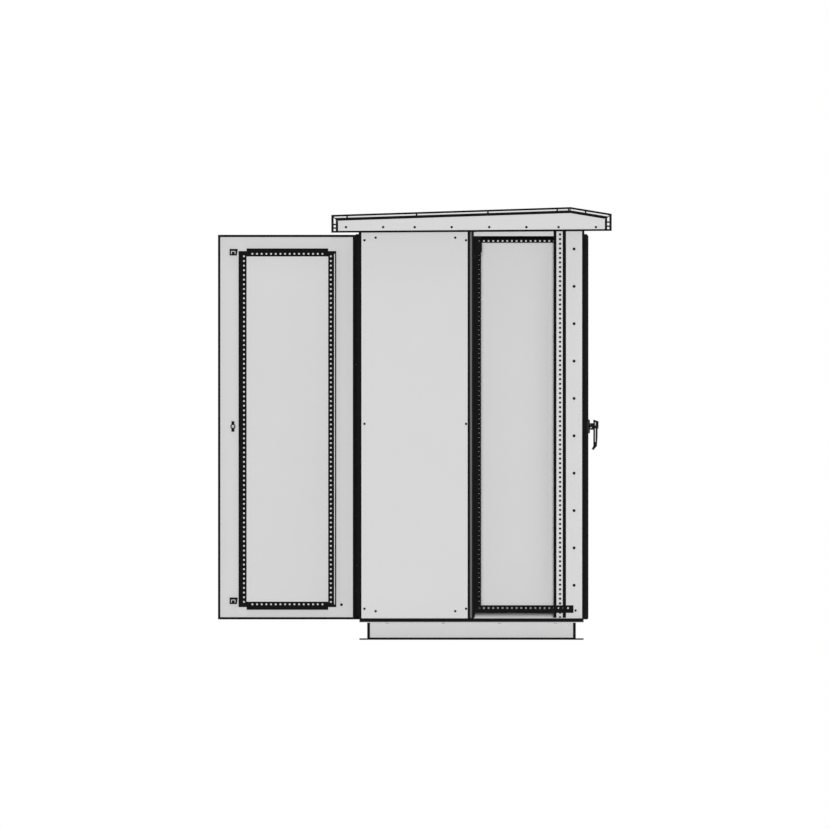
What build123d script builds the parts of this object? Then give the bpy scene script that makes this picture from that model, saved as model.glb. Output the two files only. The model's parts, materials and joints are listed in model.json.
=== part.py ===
"""Outdoor switchgear housing: a sheet-metal enclosure on a plinth, with a canopy roof and a door at each end.

Millimetres. X runs from the front door to the rear door, Y from the near side to the far side, Z is up.
The origin is the centre of the plinth's underside. The front door stands open at a right angle.
"""
import os
from build123d import *

os.makedirs("parts", exist_ok=True)

# Body
body_length = 1200.0
body_width = 750.0
body_height = 2100.0
ceiling_thickness = 3.0
floor_thickness = 3.0
joint_gap = 0.3

# Plinth and base frame
plinth_height = 100.0
plinth_recess = 45.0
plinth_flange = 8.0
plinth_web = 6.0
anchor_hole = 14.0
anchor_edge = 22.0
base_frame_height = 15.0
base_frame_width = 60.0

# Corner posts, door surrounds and centre posts
panel_recess = 18.0
surround_thickness = 8.0
surround_width = 37.0
header_height = 67.0
sill_height = 25.0
post_face_width = 86.0
post_sheet = 3.0
post_return = 30.0
centre_post_x = -2.0
centre_post_width = 28.0
centre_post_depth = 45.0
centre_post_wall = 2.5
centre_groove_width = 8.0
centre_groove_depth = 1.0
top_bar_height = 36.0
top_bar_depth = 27.0

# System profiles with one row of holes
hole_pitch = 25.0
hole_diameter = 10.0
hole_end_margin = 20.0
upright_width = 67.0
upright_depth = 50.0
upright_wall = 2.0
upright_hole_offset = 35.0
angle_face = 39.0
angle_leg = 25.0
angle_sheet = 2.0
angle_hole_edge = 11.0
rail_face = 41.0
rail_hole_edge = 15.0
top_rail_face = 36.0
top_rail_hole_edge = 10.0
bottom_rail_lift = 29.0
bottom_rail_reach = 40.0

# Side panels
panel_sheet = 2.0
panel_end_gap = 3.0
panel_centre_gap = 5.0

# Canopy
canopy_overhang_x = 150.0
canopy_overhang_y = 60.0
canopy_front_drop = 18.0
canopy_rear_drop = 8.0
canopy_front_rise = 74.0
canopy_ridge_rise = 116.0
canopy_rear_rise = 80.0
canopy_ridge_x = 530.0
canopy_bevel = 25.0
canopy_sheet = 2.0
bearer_thickness = 5.0
bearer_spacing = 320.0
bearer_count = 4

# Doors
door_gap = 5.0
door_depth = 21.0
door_skin = 2.0
door_width = 734.0
door_low = 109.0
door_height = 2059.0
door_edge = 8.0
door_round = 10.0
front_door_opened = 90.0
rear_door_opened = 0.0
seal_width = 10.0
seal_proud = 16.0
seal_clearance = 9.0

# Door mounting frame
frame_face = 43.0
frame_leg = 25.0
frame_sheet = 2.0
frame_hole_edge = 14.0
frame_hinge_margin = 101.0
frame_free_margin = 110.0
frame_top_margin = 73.0
frame_bottom_margin = 52.0
frame_upright_step = 14.0

# Continuous hinges
hinge_radius = 6.0
hinge_offset = 9.0
hinge_inset = 9.0
hinge_leaf = 2.0
hinge_leaf_gap = 1.0
hinge_clearance = 0.4
hinge_end_margin = 20.0
knuckle_count = 15

# Lever handle, lock cam and rod catches
handle_edge = 80.0
handle_height = 1142.0
spindle_radius = 9.0
spindle_clearance = 0.3
rosette_thickness = 8.0
rosette_height = 75.0
rosette_width = 34.0
neck_radius = 18.0
lever_width = 30.0
lever_stand_off = 26.0
lever_head = 28.0
lever_head_rise = 37.0
lever_head_slope = 9.0
lever_head_drop = 9.0
lever_grip = 23.0
lever_grip_drop = 54.0
lever_neck = 19.5
lever_neck_drop = 105.0
lever_tip_drop = 127.0
lever_tip_off = 17.5
lever_tip_thickness = 9.0
lever_tip_slope = 6.5
lever_round = 2.5
cam_gap = 3.0
cam_thickness = 5.0
cam_radius = 14.0
cam_height = 56.0
cam_lobe = 16.0
catch_width = 44.0
catch_height = 35.0
catch_depth = 20.0
catch_wall = 5.0
catch_taper = 5.0
roller_radius = 10.0
roller_inset = 3.0
catch_edge = 84.0
catch_top_margin = 93.0
catch_bottom_margin = 100.0

# Bracket on the centre upright
bracket_width = 35.0
bracket_height = 53.0
bracket_depth = 13.0
bracket_drop = 32.0
bracket_shift = 9.0

# Levels and outer planes worked out from the sizes above
half_length = body_length / 2
half_width = body_width / 2
floor_level = plinth_height + base_frame_height
floor_top = floor_level + floor_thickness
body_top = plinth_height + body_height
frame_top = body_top - ceiling_thickness
header_level = frame_top - top_bar_height
recess_plane = half_width - panel_recess
post_inner_x = half_length - surround_thickness - post_face_width
upright_outer_x = post_inner_x
upright_inner_x = upright_outer_x - upright_width
upright_hole_x = upright_inner_x + upright_hole_offset
post_right_x = centre_post_x + centre_post_width / 2
post_left_x = centre_post_x - centre_post_width / 2


def write(piece, name):
    """Label a finished piece and write it to its own file."""
    piece.part.label = name
    export_step(piece.part, f"parts/{name}.step")


def bar(x0, x1, y0, y1, z0, z1, mode=Mode.ADD):
    """Add a rectangular bar between two corners to the part in hand."""
    with Locations(((x0 + x1) / 2, (y0 + y1) / 2, (z0 + z1) / 2)):
        Box(abs(x1 - x0), abs(y1 - y0), abs(z1 - z0), mode=mode)


def row_count(length):
    """Number of system holes that fit along a profile of this length."""
    return int((length - 2 * hole_end_margin) / hole_pitch) + 1


def perforated(plane, x0, x1, y0, y1, row_x=None, row_y=None):
    """A flat strip with one row of system holes, along y at row_x or along x at row_y."""
    with BuildSketch(plane) as strip:
        with Locations(((x0 + x1) / 2, (y0 + y1) / 2)):
            Rectangle(x1 - x0, y1 - y0)
        if row_y is None:
            with Locations((row_x, (y0 + y1) / 2)):
                with GridLocations(hole_pitch, hole_pitch, 1, row_count(y1 - y0)):
                    Circle(hole_diameter / 2, mode=Mode.SUBTRACT)
        else:
            with Locations(((x0 + x1) / 2, row_y)):
                with GridLocations(hole_pitch, hole_pitch, row_count(x1 - x0), 1):
                    Circle(hole_diameter / 2, mode=Mode.SUBTRACT)
    return strip.sketch


def side_plane(side, y):
    """Plane on the near (-1) or far (+1) side at |Y| = y, with X along X, Y up, facing the near side."""
    return Plane(origin=(0, side * y, 0), x_dir=(1, 0, 0), z_dir=(0, -1, 0))


# Plinth: four channels that open outwards under the body's edge
web_x = half_length - plinth_recess
web_y = half_width - plinth_recess

with BuildPart() as plinth_sides:
    for side in (-1, 1):
        bar(-web_x, web_x, side * (web_y - plinth_web), side * web_y, 0, plinth_height)
        bar(-half_length, half_length, side * web_y, side * half_width, 0, plinth_flange)
        bar(-half_length, half_length, side * web_y, side * half_width,
            plinth_height - plinth_flange, plinth_height)
    with BuildSketch():
        with GridLocations(2 * (web_x - anchor_edge), 2 * (half_width - anchor_edge), 2, 2):
            Circle(anchor_hole / 2)
    extrude(amount=plinth_flange, mode=Mode.SUBTRACT)
write(plinth_sides, "plinth_sides")

with BuildPart() as plinth_ends:
    for end in (-1, 1):
        bar(end * (web_x - plinth_web), end * web_x, plinth_web - web_y, web_y - plinth_web,
            0, plinth_height)
        bar(end * web_x, end * half_length, -web_y, web_y, 0, plinth_flange)
        bar(end * web_x, end * half_length, -web_y, web_y,
            plinth_height - plinth_flange, plinth_height)
write(plinth_ends, "plinth_ends")

# Base frame of four bars, and the floor and ceiling plates
with BuildPart() as base_frame:
    for side in (-1, 1):
        bar(-half_length, half_length, side * (half_width - base_frame_width), side * half_width,
            plinth_height, floor_level)
    for end in (-1, 1):
        reach = half_width - base_frame_width - joint_gap
        bar(end * (half_length - base_frame_width), end * half_length, -reach, reach,
            plinth_height, floor_level)
write(base_frame, "base_frame")

plate_x = half_length - surround_thickness
plate_y = recess_plane - post_sheet - post_return
with BuildPart() as floor_plate:
    bar(-plate_x, plate_x, -plate_y, plate_y, floor_level, floor_top)
write(floor_plate, "floor_plate")

with BuildPart() as ceiling_plate:
    bar(-half_length, half_length, -half_width, half_width, frame_top, body_top)
write(ceiling_plate, "ceiling_plate")

# Corner posts: a wide face behind the panel plane with a return into the body
with BuildPart() as corner_posts:
    for end in (-1, 1):
        for side in (-1, 1):
            bar(end * post_inner_x, end * plate_x, side * (recess_plane - post_sheet),
                side * recess_plane, floor_level, frame_top)
            bar(end * (plate_x - post_sheet), end * plate_x,
                side * (recess_plane - post_sheet - post_return),
                side * (recess_plane - post_sheet), floor_level, frame_top)
write(corner_posts, "corner_posts")

# Door surrounds: two stiles, a header and a sill at each end of the body
def door_surround(end):
    """Stiles, header and sill around the doorway at the front (-1) or rear (+1) end."""
    inner = half_width - surround_width
    outer_x = end * half_length
    inner_x = end * (half_length - surround_thickness)
    with BuildPart() as surround:
        for side in (-1, 1):
            bar(inner_x, outer_x, side * inner, side * half_width, floor_level, frame_top)
        reach = inner - joint_gap
        bar(inner_x, outer_x, -reach, reach, frame_top - header_height, frame_top)
        bar(inner_x, outer_x, -reach, reach, floor_level, floor_level + sill_height)
    return surround


front_door_surround = door_surround(-1)
write(front_door_surround, "front_door_surround")
rear_door_surround = door_surround(1)
write(rear_door_surround, "rear_door_surround")

# Centre posts: a hollow post on each side, grooved along its outer face
with BuildPart() as centre_posts:
    for side in (-1, 1):
        outer = side * half_width
        inner = side * (half_width - centre_post_depth)
        bar(post_left_x, post_right_x, inner, outer, floor_level, frame_top)
        bar(post_left_x + centre_post_wall, post_right_x - centre_post_wall,
            inner + side * centre_post_wall, outer - side * centre_post_wall,
            floor_level, frame_top, mode=Mode.SUBTRACT)
        bar(centre_post_x - centre_groove_width / 2, centre_post_x + centre_groove_width / 2,
            outer - side * centre_groove_depth, outer, floor_level, frame_top, mode=Mode.SUBTRACT)
write(centre_posts, "centre_posts")

# Top bars between the posts along both sides
with BuildPart() as top_bars:
    for side in (-1, 1):
        for x0, x1 in ((-post_inner_x, post_left_x), (post_right_x, post_inner_x)):
            bar(x0, x1, side * (recess_plane - top_bar_depth), side * recess_plane,
                header_level, frame_top)
write(top_bars, "top_bars")

# Mounting uprights: hollow sections with a row of holes towards each side of the body
upright_face = recess_plane - top_bar_depth
with BuildPart() as mounting_uprights:
    for end in (-1, 1):
        x0, x1 = sorted((end * upright_inner_x, end * upright_outer_x))
        for side in (-1, 1):
            y0, y1 = sorted((side * (upright_face - upright_depth), side * upright_face))
            bar(x0, x1, y0, y1, floor_top, frame_top)
            bar(x0 + upright_wall, x1 - upright_wall, y0 + upright_wall, y1 - upright_wall,
                floor_top, frame_top, mode=Mode.SUBTRACT)
    for side in (-1, 1):
        with BuildSketch(side_plane(side, upright_face)):
            with Locations((0, (floor_top + frame_top) / 2)):
                with GridLocations(2 * upright_hole_x, hole_pitch, 2, row_count(frame_top - floor_top)):
                    Circle(hole_diameter / 2)
        extrude(amount=side * upright_wall, mode=Mode.SUBTRACT)
write(mounting_uprights, "mounting_uprights")

# Centre uprights: angles that stand against the centre posts, one in each bay on each side
rail_low = floor_level + bottom_rail_lift
with BuildPart() as centre_uprights:
    for side in (-1, 1):
        high = header_level - (top_rail_face if side > 0 else 0)
        low = rail_low + rail_face
        for bay in (-1, 1):
            post_x = post_right_x if bay > 0 else post_left_x
            tip_x = post_x + bay * angle_face
            x0, x1 = sorted((post_x, tip_x))
            row = tip_x - bay * angle_hole_edge
            extrude(perforated(side_plane(side, recess_plane), x0, x1, low, high, row_x=row),
                    amount=-side * angle_sheet)
            bar(post_x, post_x + bay * angle_sheet, side * (recess_plane - angle_leg),
                side * recess_plane, low, high)
write(centre_uprights, "centre_uprights")


def side_rails(side, low, face, row, leg_low):
    """Two perforated angle rails on one side of the body, one in each bay."""
    for bay in (-1, 1):
        post_x = post_right_x if bay > 0 else post_left_x
        x0, x1 = sorted((post_x, bay * (post_inner_x + bottom_rail_reach)))
        extrude(perforated(side_plane(side, recess_plane), x0, x1, low, low + face, row_y=row),
                amount=-side * angle_sheet)
        bar(post_x, bay * (post_inner_x - joint_gap), side * (recess_plane - angle_leg),
            side * recess_plane, leg_low, leg_low + angle_sheet)


# Bottom rails on both sides, and top rails on the far side
with BuildPart() as bottom_rails:
    for side in (-1, 1):
        side_rails(side, rail_low, rail_face, rail_low + rail_face - rail_hole_edge, rail_low)
write(bottom_rails, "bottom_rails")

with BuildPart() as top_rails:
    rail_base = header_level - top_rail_face
    side_rails(1, rail_base, top_rail_face, rail_base + top_rail_hole_edge, header_level - angle_sheet)
write(top_rails, "top_rails")

# Bracket in front of the near centre upright
with BuildPart() as upper_bracket:
    face = recess_plane + angle_sheet
    left = post_right_x + bracket_shift
    high = header_level - bracket_drop
    bar(left, left + bracket_width, -(face + bracket_depth), -face, high - bracket_height, high)
write(upper_bracket, "upper_bracket")


def side_panel(side, x0, x1):
    """Folded tray that closes one bay on the near (-1) or far (+1) side."""
    inner = recess_plane + angle_sheet
    low = floor_level + joint_gap
    high = frame_top - joint_gap
    with BuildPart() as panel:
        bar(x0, x1, side * inner, side * half_width, low, high)
        bar(x0 + panel_sheet, x1 - panel_sheet, side * inner, side * (half_width - panel_sheet),
            low + panel_sheet, high - panel_sheet, mode=Mode.SUBTRACT)
    return panel


# Side panels: the near side is open in the rear bay
panel_end_x = plate_x - panel_end_gap
near_panel_front = side_panel(-1, -panel_end_x, post_left_x - panel_centre_gap)
write(near_panel_front, "near_panel_front")
far_panel_front = side_panel(1, -panel_end_x, post_left_x - panel_centre_gap)
write(far_panel_front, "far_panel_front")
far_panel_rear = side_panel(1, post_right_x + panel_centre_gap, panel_end_x)
write(far_panel_rear, "far_panel_rear")


# Canopy: a hollow hood with two slopes, bevelled along both sides and cut into its sheets
canopy_half_x = half_length + canopy_overhang_x
canopy_half_y = half_width + canopy_overhang_y
front_skirt = body_top - canopy_front_drop
rear_skirt = body_top - canopy_rear_drop
front_eave = body_top + canopy_front_rise
ridge = body_top + canopy_ridge_rise
rear_eave = body_top + canopy_rear_rise


def canopy_block(inset):
    """The hood's closed form, drawn in by inset on its top, ends and sides."""
    half_x = canopy_half_x - inset
    half_y = canopy_half_y - inset
    with BuildPart() as block:
        with BuildSketch(Plane.XZ.offset(-half_y)):
            with BuildLine():
                Polyline(
                    (-half_x, front_skirt - inset),
                    (-half_x, front_eave - inset),
                    (canopy_ridge_x, ridge - inset),
                    (half_x, rear_eave - inset),
                    (half_x, rear_skirt - inset),
                    close=True,
                )
            make_face()
        extrude(amount=2 * half_y)
        rims = block.faces().filter_by(Axis.Y).edges().filter_by(lambda edge: edge.center().Z > body_top)
        chamfer(rims, length=canopy_bevel - inset)
    return block


with BuildPart() as canopy:
    add(canopy_block(0).part)
    add(canopy_block(canopy_sheet).part, mode=Mode.SUBTRACT)

bevel_x = canopy_half_x - canopy_bevel
skirt_y = canopy_half_y - canopy_sheet
canopy_high = ridge + canopy_bevel


def canopy_piece(x0, x1, y0, y1):
    """The part of the hood's sheet that lies between two corners in plan."""
    with BuildPart() as piece:
        add(canopy.part)
        bar(x0, x1, y0, y1, front_skirt - canopy_bevel, canopy_high, mode=Mode.INTERSECT)
    return piece


roof_front_slope = canopy_piece(-bevel_x, canopy_ridge_x, -skirt_y, skirt_y)
write(roof_front_slope, "roof_front_slope")
roof_rear_slope = canopy_piece(canopy_ridge_x, bevel_x, -skirt_y, skirt_y)
write(roof_rear_slope, "roof_rear_slope")

with BuildPart() as roof_end_fascias:
    for end in (-1, 1):
        x0, x1 = sorted((end * bevel_x, end * canopy_half_x))
        add(canopy_piece(x0, x1, -skirt_y, skirt_y).part)
write(roof_end_fascias, "roof_end_fascias")

with BuildPart() as roof_side_fascias:
    for side in (-1, 1):
        y0, y1 = sorted((side * skirt_y, side * canopy_half_y))
        add(canopy_piece(-canopy_half_x, canopy_half_x, y0, y1).part)
write(roof_side_fascias, "roof_side_fascias")

# Bearers: upright plates across the ceiling that carry the front slope
slope_run = canopy_ridge_x + canopy_half_x - canopy_sheet
slope_rise = (ridge - front_eave) / slope_run


def slope_underside(x):
    """Height of the front slope's underside at x."""
    return front_eave - canopy_sheet + slope_rise * (x + canopy_half_x - canopy_sheet)


with BuildPart() as roof_bearers:
    for index in range(bearer_count):
        x0 = (index - (bearer_count - 1) / 2) * bearer_spacing - bearer_thickness / 2
        x1 = x0 + bearer_thickness
        with BuildSketch(Plane.XZ.offset(-plate_y)):
            with BuildLine():
                Polyline(
                    (x0, body_top),
                    (x1, body_top),
                    (x1, slope_underside(x1)),
                    (x0, slope_underside(x0)),
                    close=True,
                )
            make_face()
        extrude(amount=2 * plate_y)
write(roof_bearers, "roof_bearers")

# Doors: each is drawn on a plane through its hinge axis, with x from the hinge, y up and z outwards
hinge_x = half_length + door_gap + hinge_inset
hinge_y = door_width / 2 + hinge_offset
door_high = door_low + door_height
door_inner = -hinge_inset
door_outer = door_depth - hinge_inset
door_back = door_outer - door_skin
hinge_edge = hinge_offset
free_edge = hinge_offset + door_width
hinge_low = door_low + hinge_end_margin
knuckle_pitch = (door_height - 2 * hinge_end_margin) / knuckle_count
leaf_reach = hinge_radius + hinge_leaf_gap


def door_plane(end, opened):
    """Plane of the front (-1) or rear (+1) door, opened by this many degrees."""
    across = Vector(0, end, 0).rotate(Axis.Z, -opened)
    outward = Vector(end, 0, 0).rotate(Axis.Z, -opened)
    return Plane(origin=(end * hinge_x, -end * hinge_y, 0), x_dir=across, z_dir=outward)


def knuckles(first):
    """Every second barrel of a continuous hinge, standing on the axis at the plane's origin."""
    for index in range(first, knuckle_count, 2):
        middle = hinge_low + (index + 0.5) * knuckle_pitch
        with Locations(Location((0, middle, 0), (90, 0, 0))):
            Cylinder(hinge_radius, knuckle_pitch - hinge_clearance)
        bar(hinge_radius - hinge_leaf, leaf_reach, middle - knuckle_pitch / 2 + hinge_clearance / 2,
            middle + knuckle_pitch / 2 - hinge_clearance / 2, -hinge_leaf / 2, hinge_leaf / 2)


def body_side(end):
    """Doorway seal and the body's half of the hinge at the front (-1) or rear (+1) end."""
    name = "front" if end < 0 else "rear"
    seal_y = door_width / 2 - door_edge - seal_clearance
    low = door_low + door_edge + seal_clearance
    high = door_high - door_edge - seal_clearance
    x0, x1 = end * half_length, end * (half_length + seal_proud)
    with BuildPart() as seal:
        for side in (-1, 1):
            bar(x0, x1, side * (seal_y - seal_width), side * seal_y, low, high)
        reach = seal_y - seal_width - joint_gap
        bar(x0, x1, -reach, reach, low, low + seal_width)
        bar(x0, x1, -reach, reach, high - seal_width, high)
    write(seal, f"{name}_doorway_seal")

    inwards = Plane(origin=(end * hinge_x, -end * hinge_y, 0), x_dir=(-end, 0, 0), z_dir=(0, end, 0))
    leaf_face = hinge_y - half_width
    leaf_end = hinge_x - half_length + surround_thickness
    with BuildPart(inwards) as leaf:
        bar(leaf_reach, leaf_end, hinge_low, hinge_low + knuckle_count * knuckle_pitch,
            leaf_face - hinge_leaf, leaf_face)
        knuckles(0)
    write(leaf, f"{name}_hinge_body_leaf")


def door_leaf(end, opened):
    """Every piece of one door and its handle."""
    name = "front" if end < 0 else "rear"
    door = door_plane(end, opened)
    outward = Axis(door.origin, door.z_dir)

    with BuildPart(door) as edge:
        bar(hinge_edge, free_edge, door_low, door_high, door_inner, door_outer)
        fillet(edge.faces().sort_by(outward)[-1].edges(), radius=door_round)
        bar(hinge_edge + door_edge, free_edge - door_edge, door_low + door_edge, door_high - door_edge,
            door_inner, door_outer, mode=Mode.SUBTRACT)
        for cut in (hinge_edge + door_edge, free_edge - door_edge - joint_gap):
            bar(cut, cut + joint_gap, door_low, door_high, door_inner, door_outer, mode=Mode.SUBTRACT)
    write(edge, f"{name}_door_edge")

    handle_u = free_edge - handle_edge
    with BuildPart(door) as skin:
        bar(hinge_edge + door_edge, free_edge - door_edge, door_low + door_edge, door_high - door_edge,
            door_back, door_outer)
        with Locations((handle_u, handle_height, door_outer)):
            Cylinder(spindle_radius + spindle_clearance, 4 * door_skin, mode=Mode.SUBTRACT)
    write(skin, f"{name}_door_skin")

    seat = door_back - frame_sheet
    left = hinge_edge + frame_hinge_margin
    right = free_edge - frame_free_margin
    low = door_low + frame_bottom_margin
    high = door_high - frame_top_margin
    with BuildPart(door) as uprights:
        v0, v1 = low + frame_upright_step, high - frame_upright_step
        for outer, lean in ((left, 1), (right, -1)):
            u0, u1 = sorted((outer, outer + lean * frame_face))
            row = outer + lean * (frame_face - frame_hole_edge)
            bar(outer, outer + lean * frame_sheet, v0, v1, door_back - frame_leg, seat)
            extrude(perforated(door.offset(seat), u0, u1, v0, v1, row_x=row), amount=frame_sheet)
    write(uprights, f"{name}_door_uprights")

    with BuildPart(door) as rails:
        u0, u1 = left + frame_face, right - frame_face
        for outer, lean in ((low, 1), (high, -1)):
            v0, v1 = sorted((outer, outer + lean * frame_face))
            row = outer + lean * (frame_face - frame_hole_edge)
            bar(u0, u1, outer, outer + lean * frame_sheet, door_back - frame_leg, seat)
            extrude(perforated(door.offset(seat), u0, u1, v0, v1, row_y=row), amount=frame_sheet)
    write(rails, f"{name}_door_rails")

    with BuildPart(door) as catches:
        middle = free_edge - catch_edge
        for level in (door_low + catch_bottom_margin, door_high - catch_top_margin):
            base = level - catch_height / 2
            with BuildSketch(door.offset(door_back)):
                with BuildLine():
                    Polyline(
                        (middle + catch_width / 2, base),
                        (middle + catch_width / 2, base + catch_height),
                        (middle - catch_width / 2, base + catch_height),
                        (middle - catch_width / 2 + catch_taper, base),
                        close=True,
                    )
                make_face()
            extrude(amount=-catch_depth)
            with BuildSketch(door.offset(door_back - catch_depth)):
                with Locations((middle + catch_taper / 2, base + catch_wall)):
                    Rectangle(catch_width - catch_taper - 2 * catch_wall, catch_height - 2 * catch_wall,
                              align=(Align.CENTER, Align.MIN))
            extrude(amount=catch_depth - catch_wall, mode=Mode.SUBTRACT)
            with BuildSketch(door.offset(door_back - catch_wall)):
                with Locations((middle + catch_taper / 2, base + catch_wall)):
                    Rectangle(2 * roller_radius, roller_radius, align=(Align.CENTER, Align.MIN))
                with Locations((middle + catch_taper / 2, base + catch_wall + roller_radius)):
                    Circle(roller_radius)
            extrude(amount=catch_wall - catch_depth + roller_inset)
    write(catches, f"{name}_door_catches")

    with BuildPart(door) as hinge:
        bar(leaf_reach, hinge_edge, hinge_low, hinge_low + knuckle_count * knuckle_pitch,
            -hinge_radius, door_outer - door_round)
        knuckles(1)
    write(hinge, f"{name}_hinge_door_leaf")

    with BuildPart() as rosette:
        with BuildSketch(door.offset(door_outer)):
            with Locations((handle_u, handle_height)):
                SlotOverall(rosette_height, rosette_width, rotation=90)
                Circle(spindle_radius + spindle_clearance, mode=Mode.SUBTRACT)
        extrude(amount=rosette_thickness)
    write(rosette, f"{name}_door_rosette")

    # Handle: spindle, neck and a bent lever in one, and the lock cam behind the skin
    grip_start = door_outer + lever_stand_off
    cam_face = door_back - cam_gap
    lever_side = Plane(origin=door.from_local_coords((handle_u - lever_width / 2, handle_height, 0)),
                       x_dir=door.z_dir, z_dir=door.x_dir)
    with BuildPart() as lever:
        with BuildSketch(lever_side):
            with BuildLine():
                Polyline(
                    (grip_start, -lever_head_rise),
                    (grip_start + lever_head, lever_head_slope - lever_head_rise),
                    (grip_start + lever_head, lever_head_drop),
                    (grip_start + lever_grip, lever_head_drop + lever_head - lever_grip),
                    (grip_start + lever_grip, lever_grip_drop),
                    (grip_start + lever_neck, lever_neck_drop),
                    (door_outer + lever_tip_off + lever_tip_thickness, lever_tip_drop),
                    (door_outer + lever_tip_off, lever_tip_drop - lever_tip_slope),
                    (grip_start, lever_neck_drop),
                    close=True,
                )
            make_face()
        extrude(amount=lever_width)
        fillet(lever.faces().filter_by(Axis(door.origin, door.x_dir)).edges(), radius=lever_round)
        with BuildSketch(door.offset(cam_face)):
            with Locations((handle_u, handle_height)):
                Circle(spindle_radius)
        extrude(amount=grip_start - cam_face)
        with BuildSketch(door.offset(door_outer + rosette_thickness + joint_gap)):
            with Locations((handle_u, handle_height)):
                Circle(neck_radius)
        extrude(amount=lever_stand_off - rosette_thickness - joint_gap)
    write(lever, f"{name}_handle_lever")

    with BuildPart() as cam:
        with BuildSketch(door.offset(cam_face - cam_thickness)):
            with Locations((handle_u, handle_height)):
                Circle(cam_radius)
                Rectangle(cam_lobe, cam_height)
        extrude(amount=cam_thickness)
    write(cam, f"{name}_lock_cam")


for end, opened in ((-1, front_door_opened), (1, rear_door_opened)):
    body_side(end)
    door_leaf(end, opened)
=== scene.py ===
"""Looks of the outdoor switchgear housing: finishes, seals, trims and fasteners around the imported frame.

Metres. X runs from the front door to the rear door, Y from the near side to the far side, Z is up.
"""

import json
import logging
import math
from dataclasses import dataclass
from enum import Enum
from typing import Any, Optional, Sequence

import bmesh
import bpy
from mathutils import Matrix, Vector


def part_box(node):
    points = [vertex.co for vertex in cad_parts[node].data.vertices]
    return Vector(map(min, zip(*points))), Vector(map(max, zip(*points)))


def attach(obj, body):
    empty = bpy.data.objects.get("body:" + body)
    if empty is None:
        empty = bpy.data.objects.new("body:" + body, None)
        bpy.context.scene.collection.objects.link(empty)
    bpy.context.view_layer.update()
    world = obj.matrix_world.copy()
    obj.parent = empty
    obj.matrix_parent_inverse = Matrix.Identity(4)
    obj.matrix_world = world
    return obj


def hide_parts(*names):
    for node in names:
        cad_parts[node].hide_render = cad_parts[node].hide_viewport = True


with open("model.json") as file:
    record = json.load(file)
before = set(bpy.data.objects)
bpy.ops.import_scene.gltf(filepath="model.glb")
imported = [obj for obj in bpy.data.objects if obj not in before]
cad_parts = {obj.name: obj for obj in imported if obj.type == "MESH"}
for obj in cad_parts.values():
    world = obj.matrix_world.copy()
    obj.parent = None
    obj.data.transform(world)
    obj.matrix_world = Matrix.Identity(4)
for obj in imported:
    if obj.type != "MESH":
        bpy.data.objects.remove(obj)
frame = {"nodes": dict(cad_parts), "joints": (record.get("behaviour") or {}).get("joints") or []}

LOG = logging.getLogger("housing")
CREASE_ANGLE = math.radians(32.0)
NEAR, FAR = -1, 1
MIX_FACTOR, MIX_A, MIX_B, MIX_RESULT = 0, 6, 7, 2

ROUNDING = 1e-6
UP = Vector((0.0, 0.0, 1.0)).freeze()
FORE = Vector((-1.0, 0.0, 0.0)).freeze()
AFT = Vector((1.0, 0.0, 0.0)).freeze()

Colour = tuple[float, float, float]
LIGHT_GREY: Colour = (0.672, 0.672, 0.672)
ZINC_GREY: Colour = (0.62, 0.62, 0.61)
MID_GREY: Colour = (0.125, 0.125, 0.127)
INSERT_BLOOM: Colour = (0.16, 0.16, 0.16)
SOFT_BLACK: Colour = (0.0088, 0.0088, 0.0092)
WORN_BLACK: Colour = (0.05, 0.05, 0.052)
MOULDED_BLACK: Colour = (0.0095, 0.0095, 0.0098)
RUBBER_BLACK: Colour = (0.0072, 0.0072, 0.0072)
RUBBER_BLOOM: Colour = (0.015, 0.015, 0.015)
DUST: Colour = (0.46, 0.44, 0.41)


class Slot(Enum):
    """The record's material slots; nothing in this script gives them to the pieces made here."""

    GREY_COAT = "grey_coat"
    BLACK_STEEL = "black_steel"
    BLACK_RUBBER = "black_rubber"
    BLACK_PLASTIC = "black_plastic"


class DoorEnd(Enum):
    """The two ends of the housing that have a door."""

    FRONT = "front"
    REAR = "rear"


class Axis(Enum):
    """Outputs of a Separate XYZ node."""

    X = 0
    Y = 1
    Z = 2


class NodeSheet:
    """A node tree in hand, with short calls that add and join its nodes."""

    def __init__(self, tree: bpy.types.NodeTree) -> None:
        """Takes the tree that the nodes go into.

        Args:
            tree: a material's or a group's node tree.
        """
        self.tree = tree

    def add(self, kind: str, inputs: Optional[dict[Any, Any]] = None, **settings: Any) -> bpy.types.Node:
        """Adds one node.

        Args:
            kind: the node's type name.
            inputs: values or output sockets by the input's name or index.
            settings: the node's own options.

        Returns:
            The new node.
        """
        node = self.tree.nodes.new(kind)
        for name, value in settings.items():
            setattr(node, name, value)
        for name, value in (inputs or {}).items():
            self.feed(node.inputs[name], value)
        return node

    def feed(self, socket: bpy.types.NodeSocket, value: Any) -> None:
        """Links a socket to another's output, or sets its value."""
        if isinstance(value, bpy.types.NodeSocket):
            self.tree.links.new(value, socket)
        elif socket.type == "RGBA" and len(value) == 3:
            socket.default_value = (*value, 1.0)
        else:
            socket.default_value = value

    def math(self, operation: str, *values: Any, clamp: bool = False) -> bpy.types.NodeSocket:
        """Adds a Math node and returns its output."""
        node = self.add("ShaderNodeMath", dict(enumerate(values)), operation=operation, use_clamp=clamp)
        return node.outputs[0]

    def mix(self, share: Any, first: Any, second: Any) -> bpy.types.NodeSocket:
        """Adds a colour mix and returns its output."""
        inputs = {MIX_FACTOR: share, MIX_A: first, MIX_B: second}
        return self.add("ShaderNodeMix", inputs, data_type="RGBA").outputs[MIX_RESULT]

    def group(self, tree: bpy.types.NodeTree, inputs: dict[str, Any]) -> bpy.types.Node:
        """Places a shared effect with its own values."""
        return self.add("ShaderNodeGroup", inputs, node_tree=tree)


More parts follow.
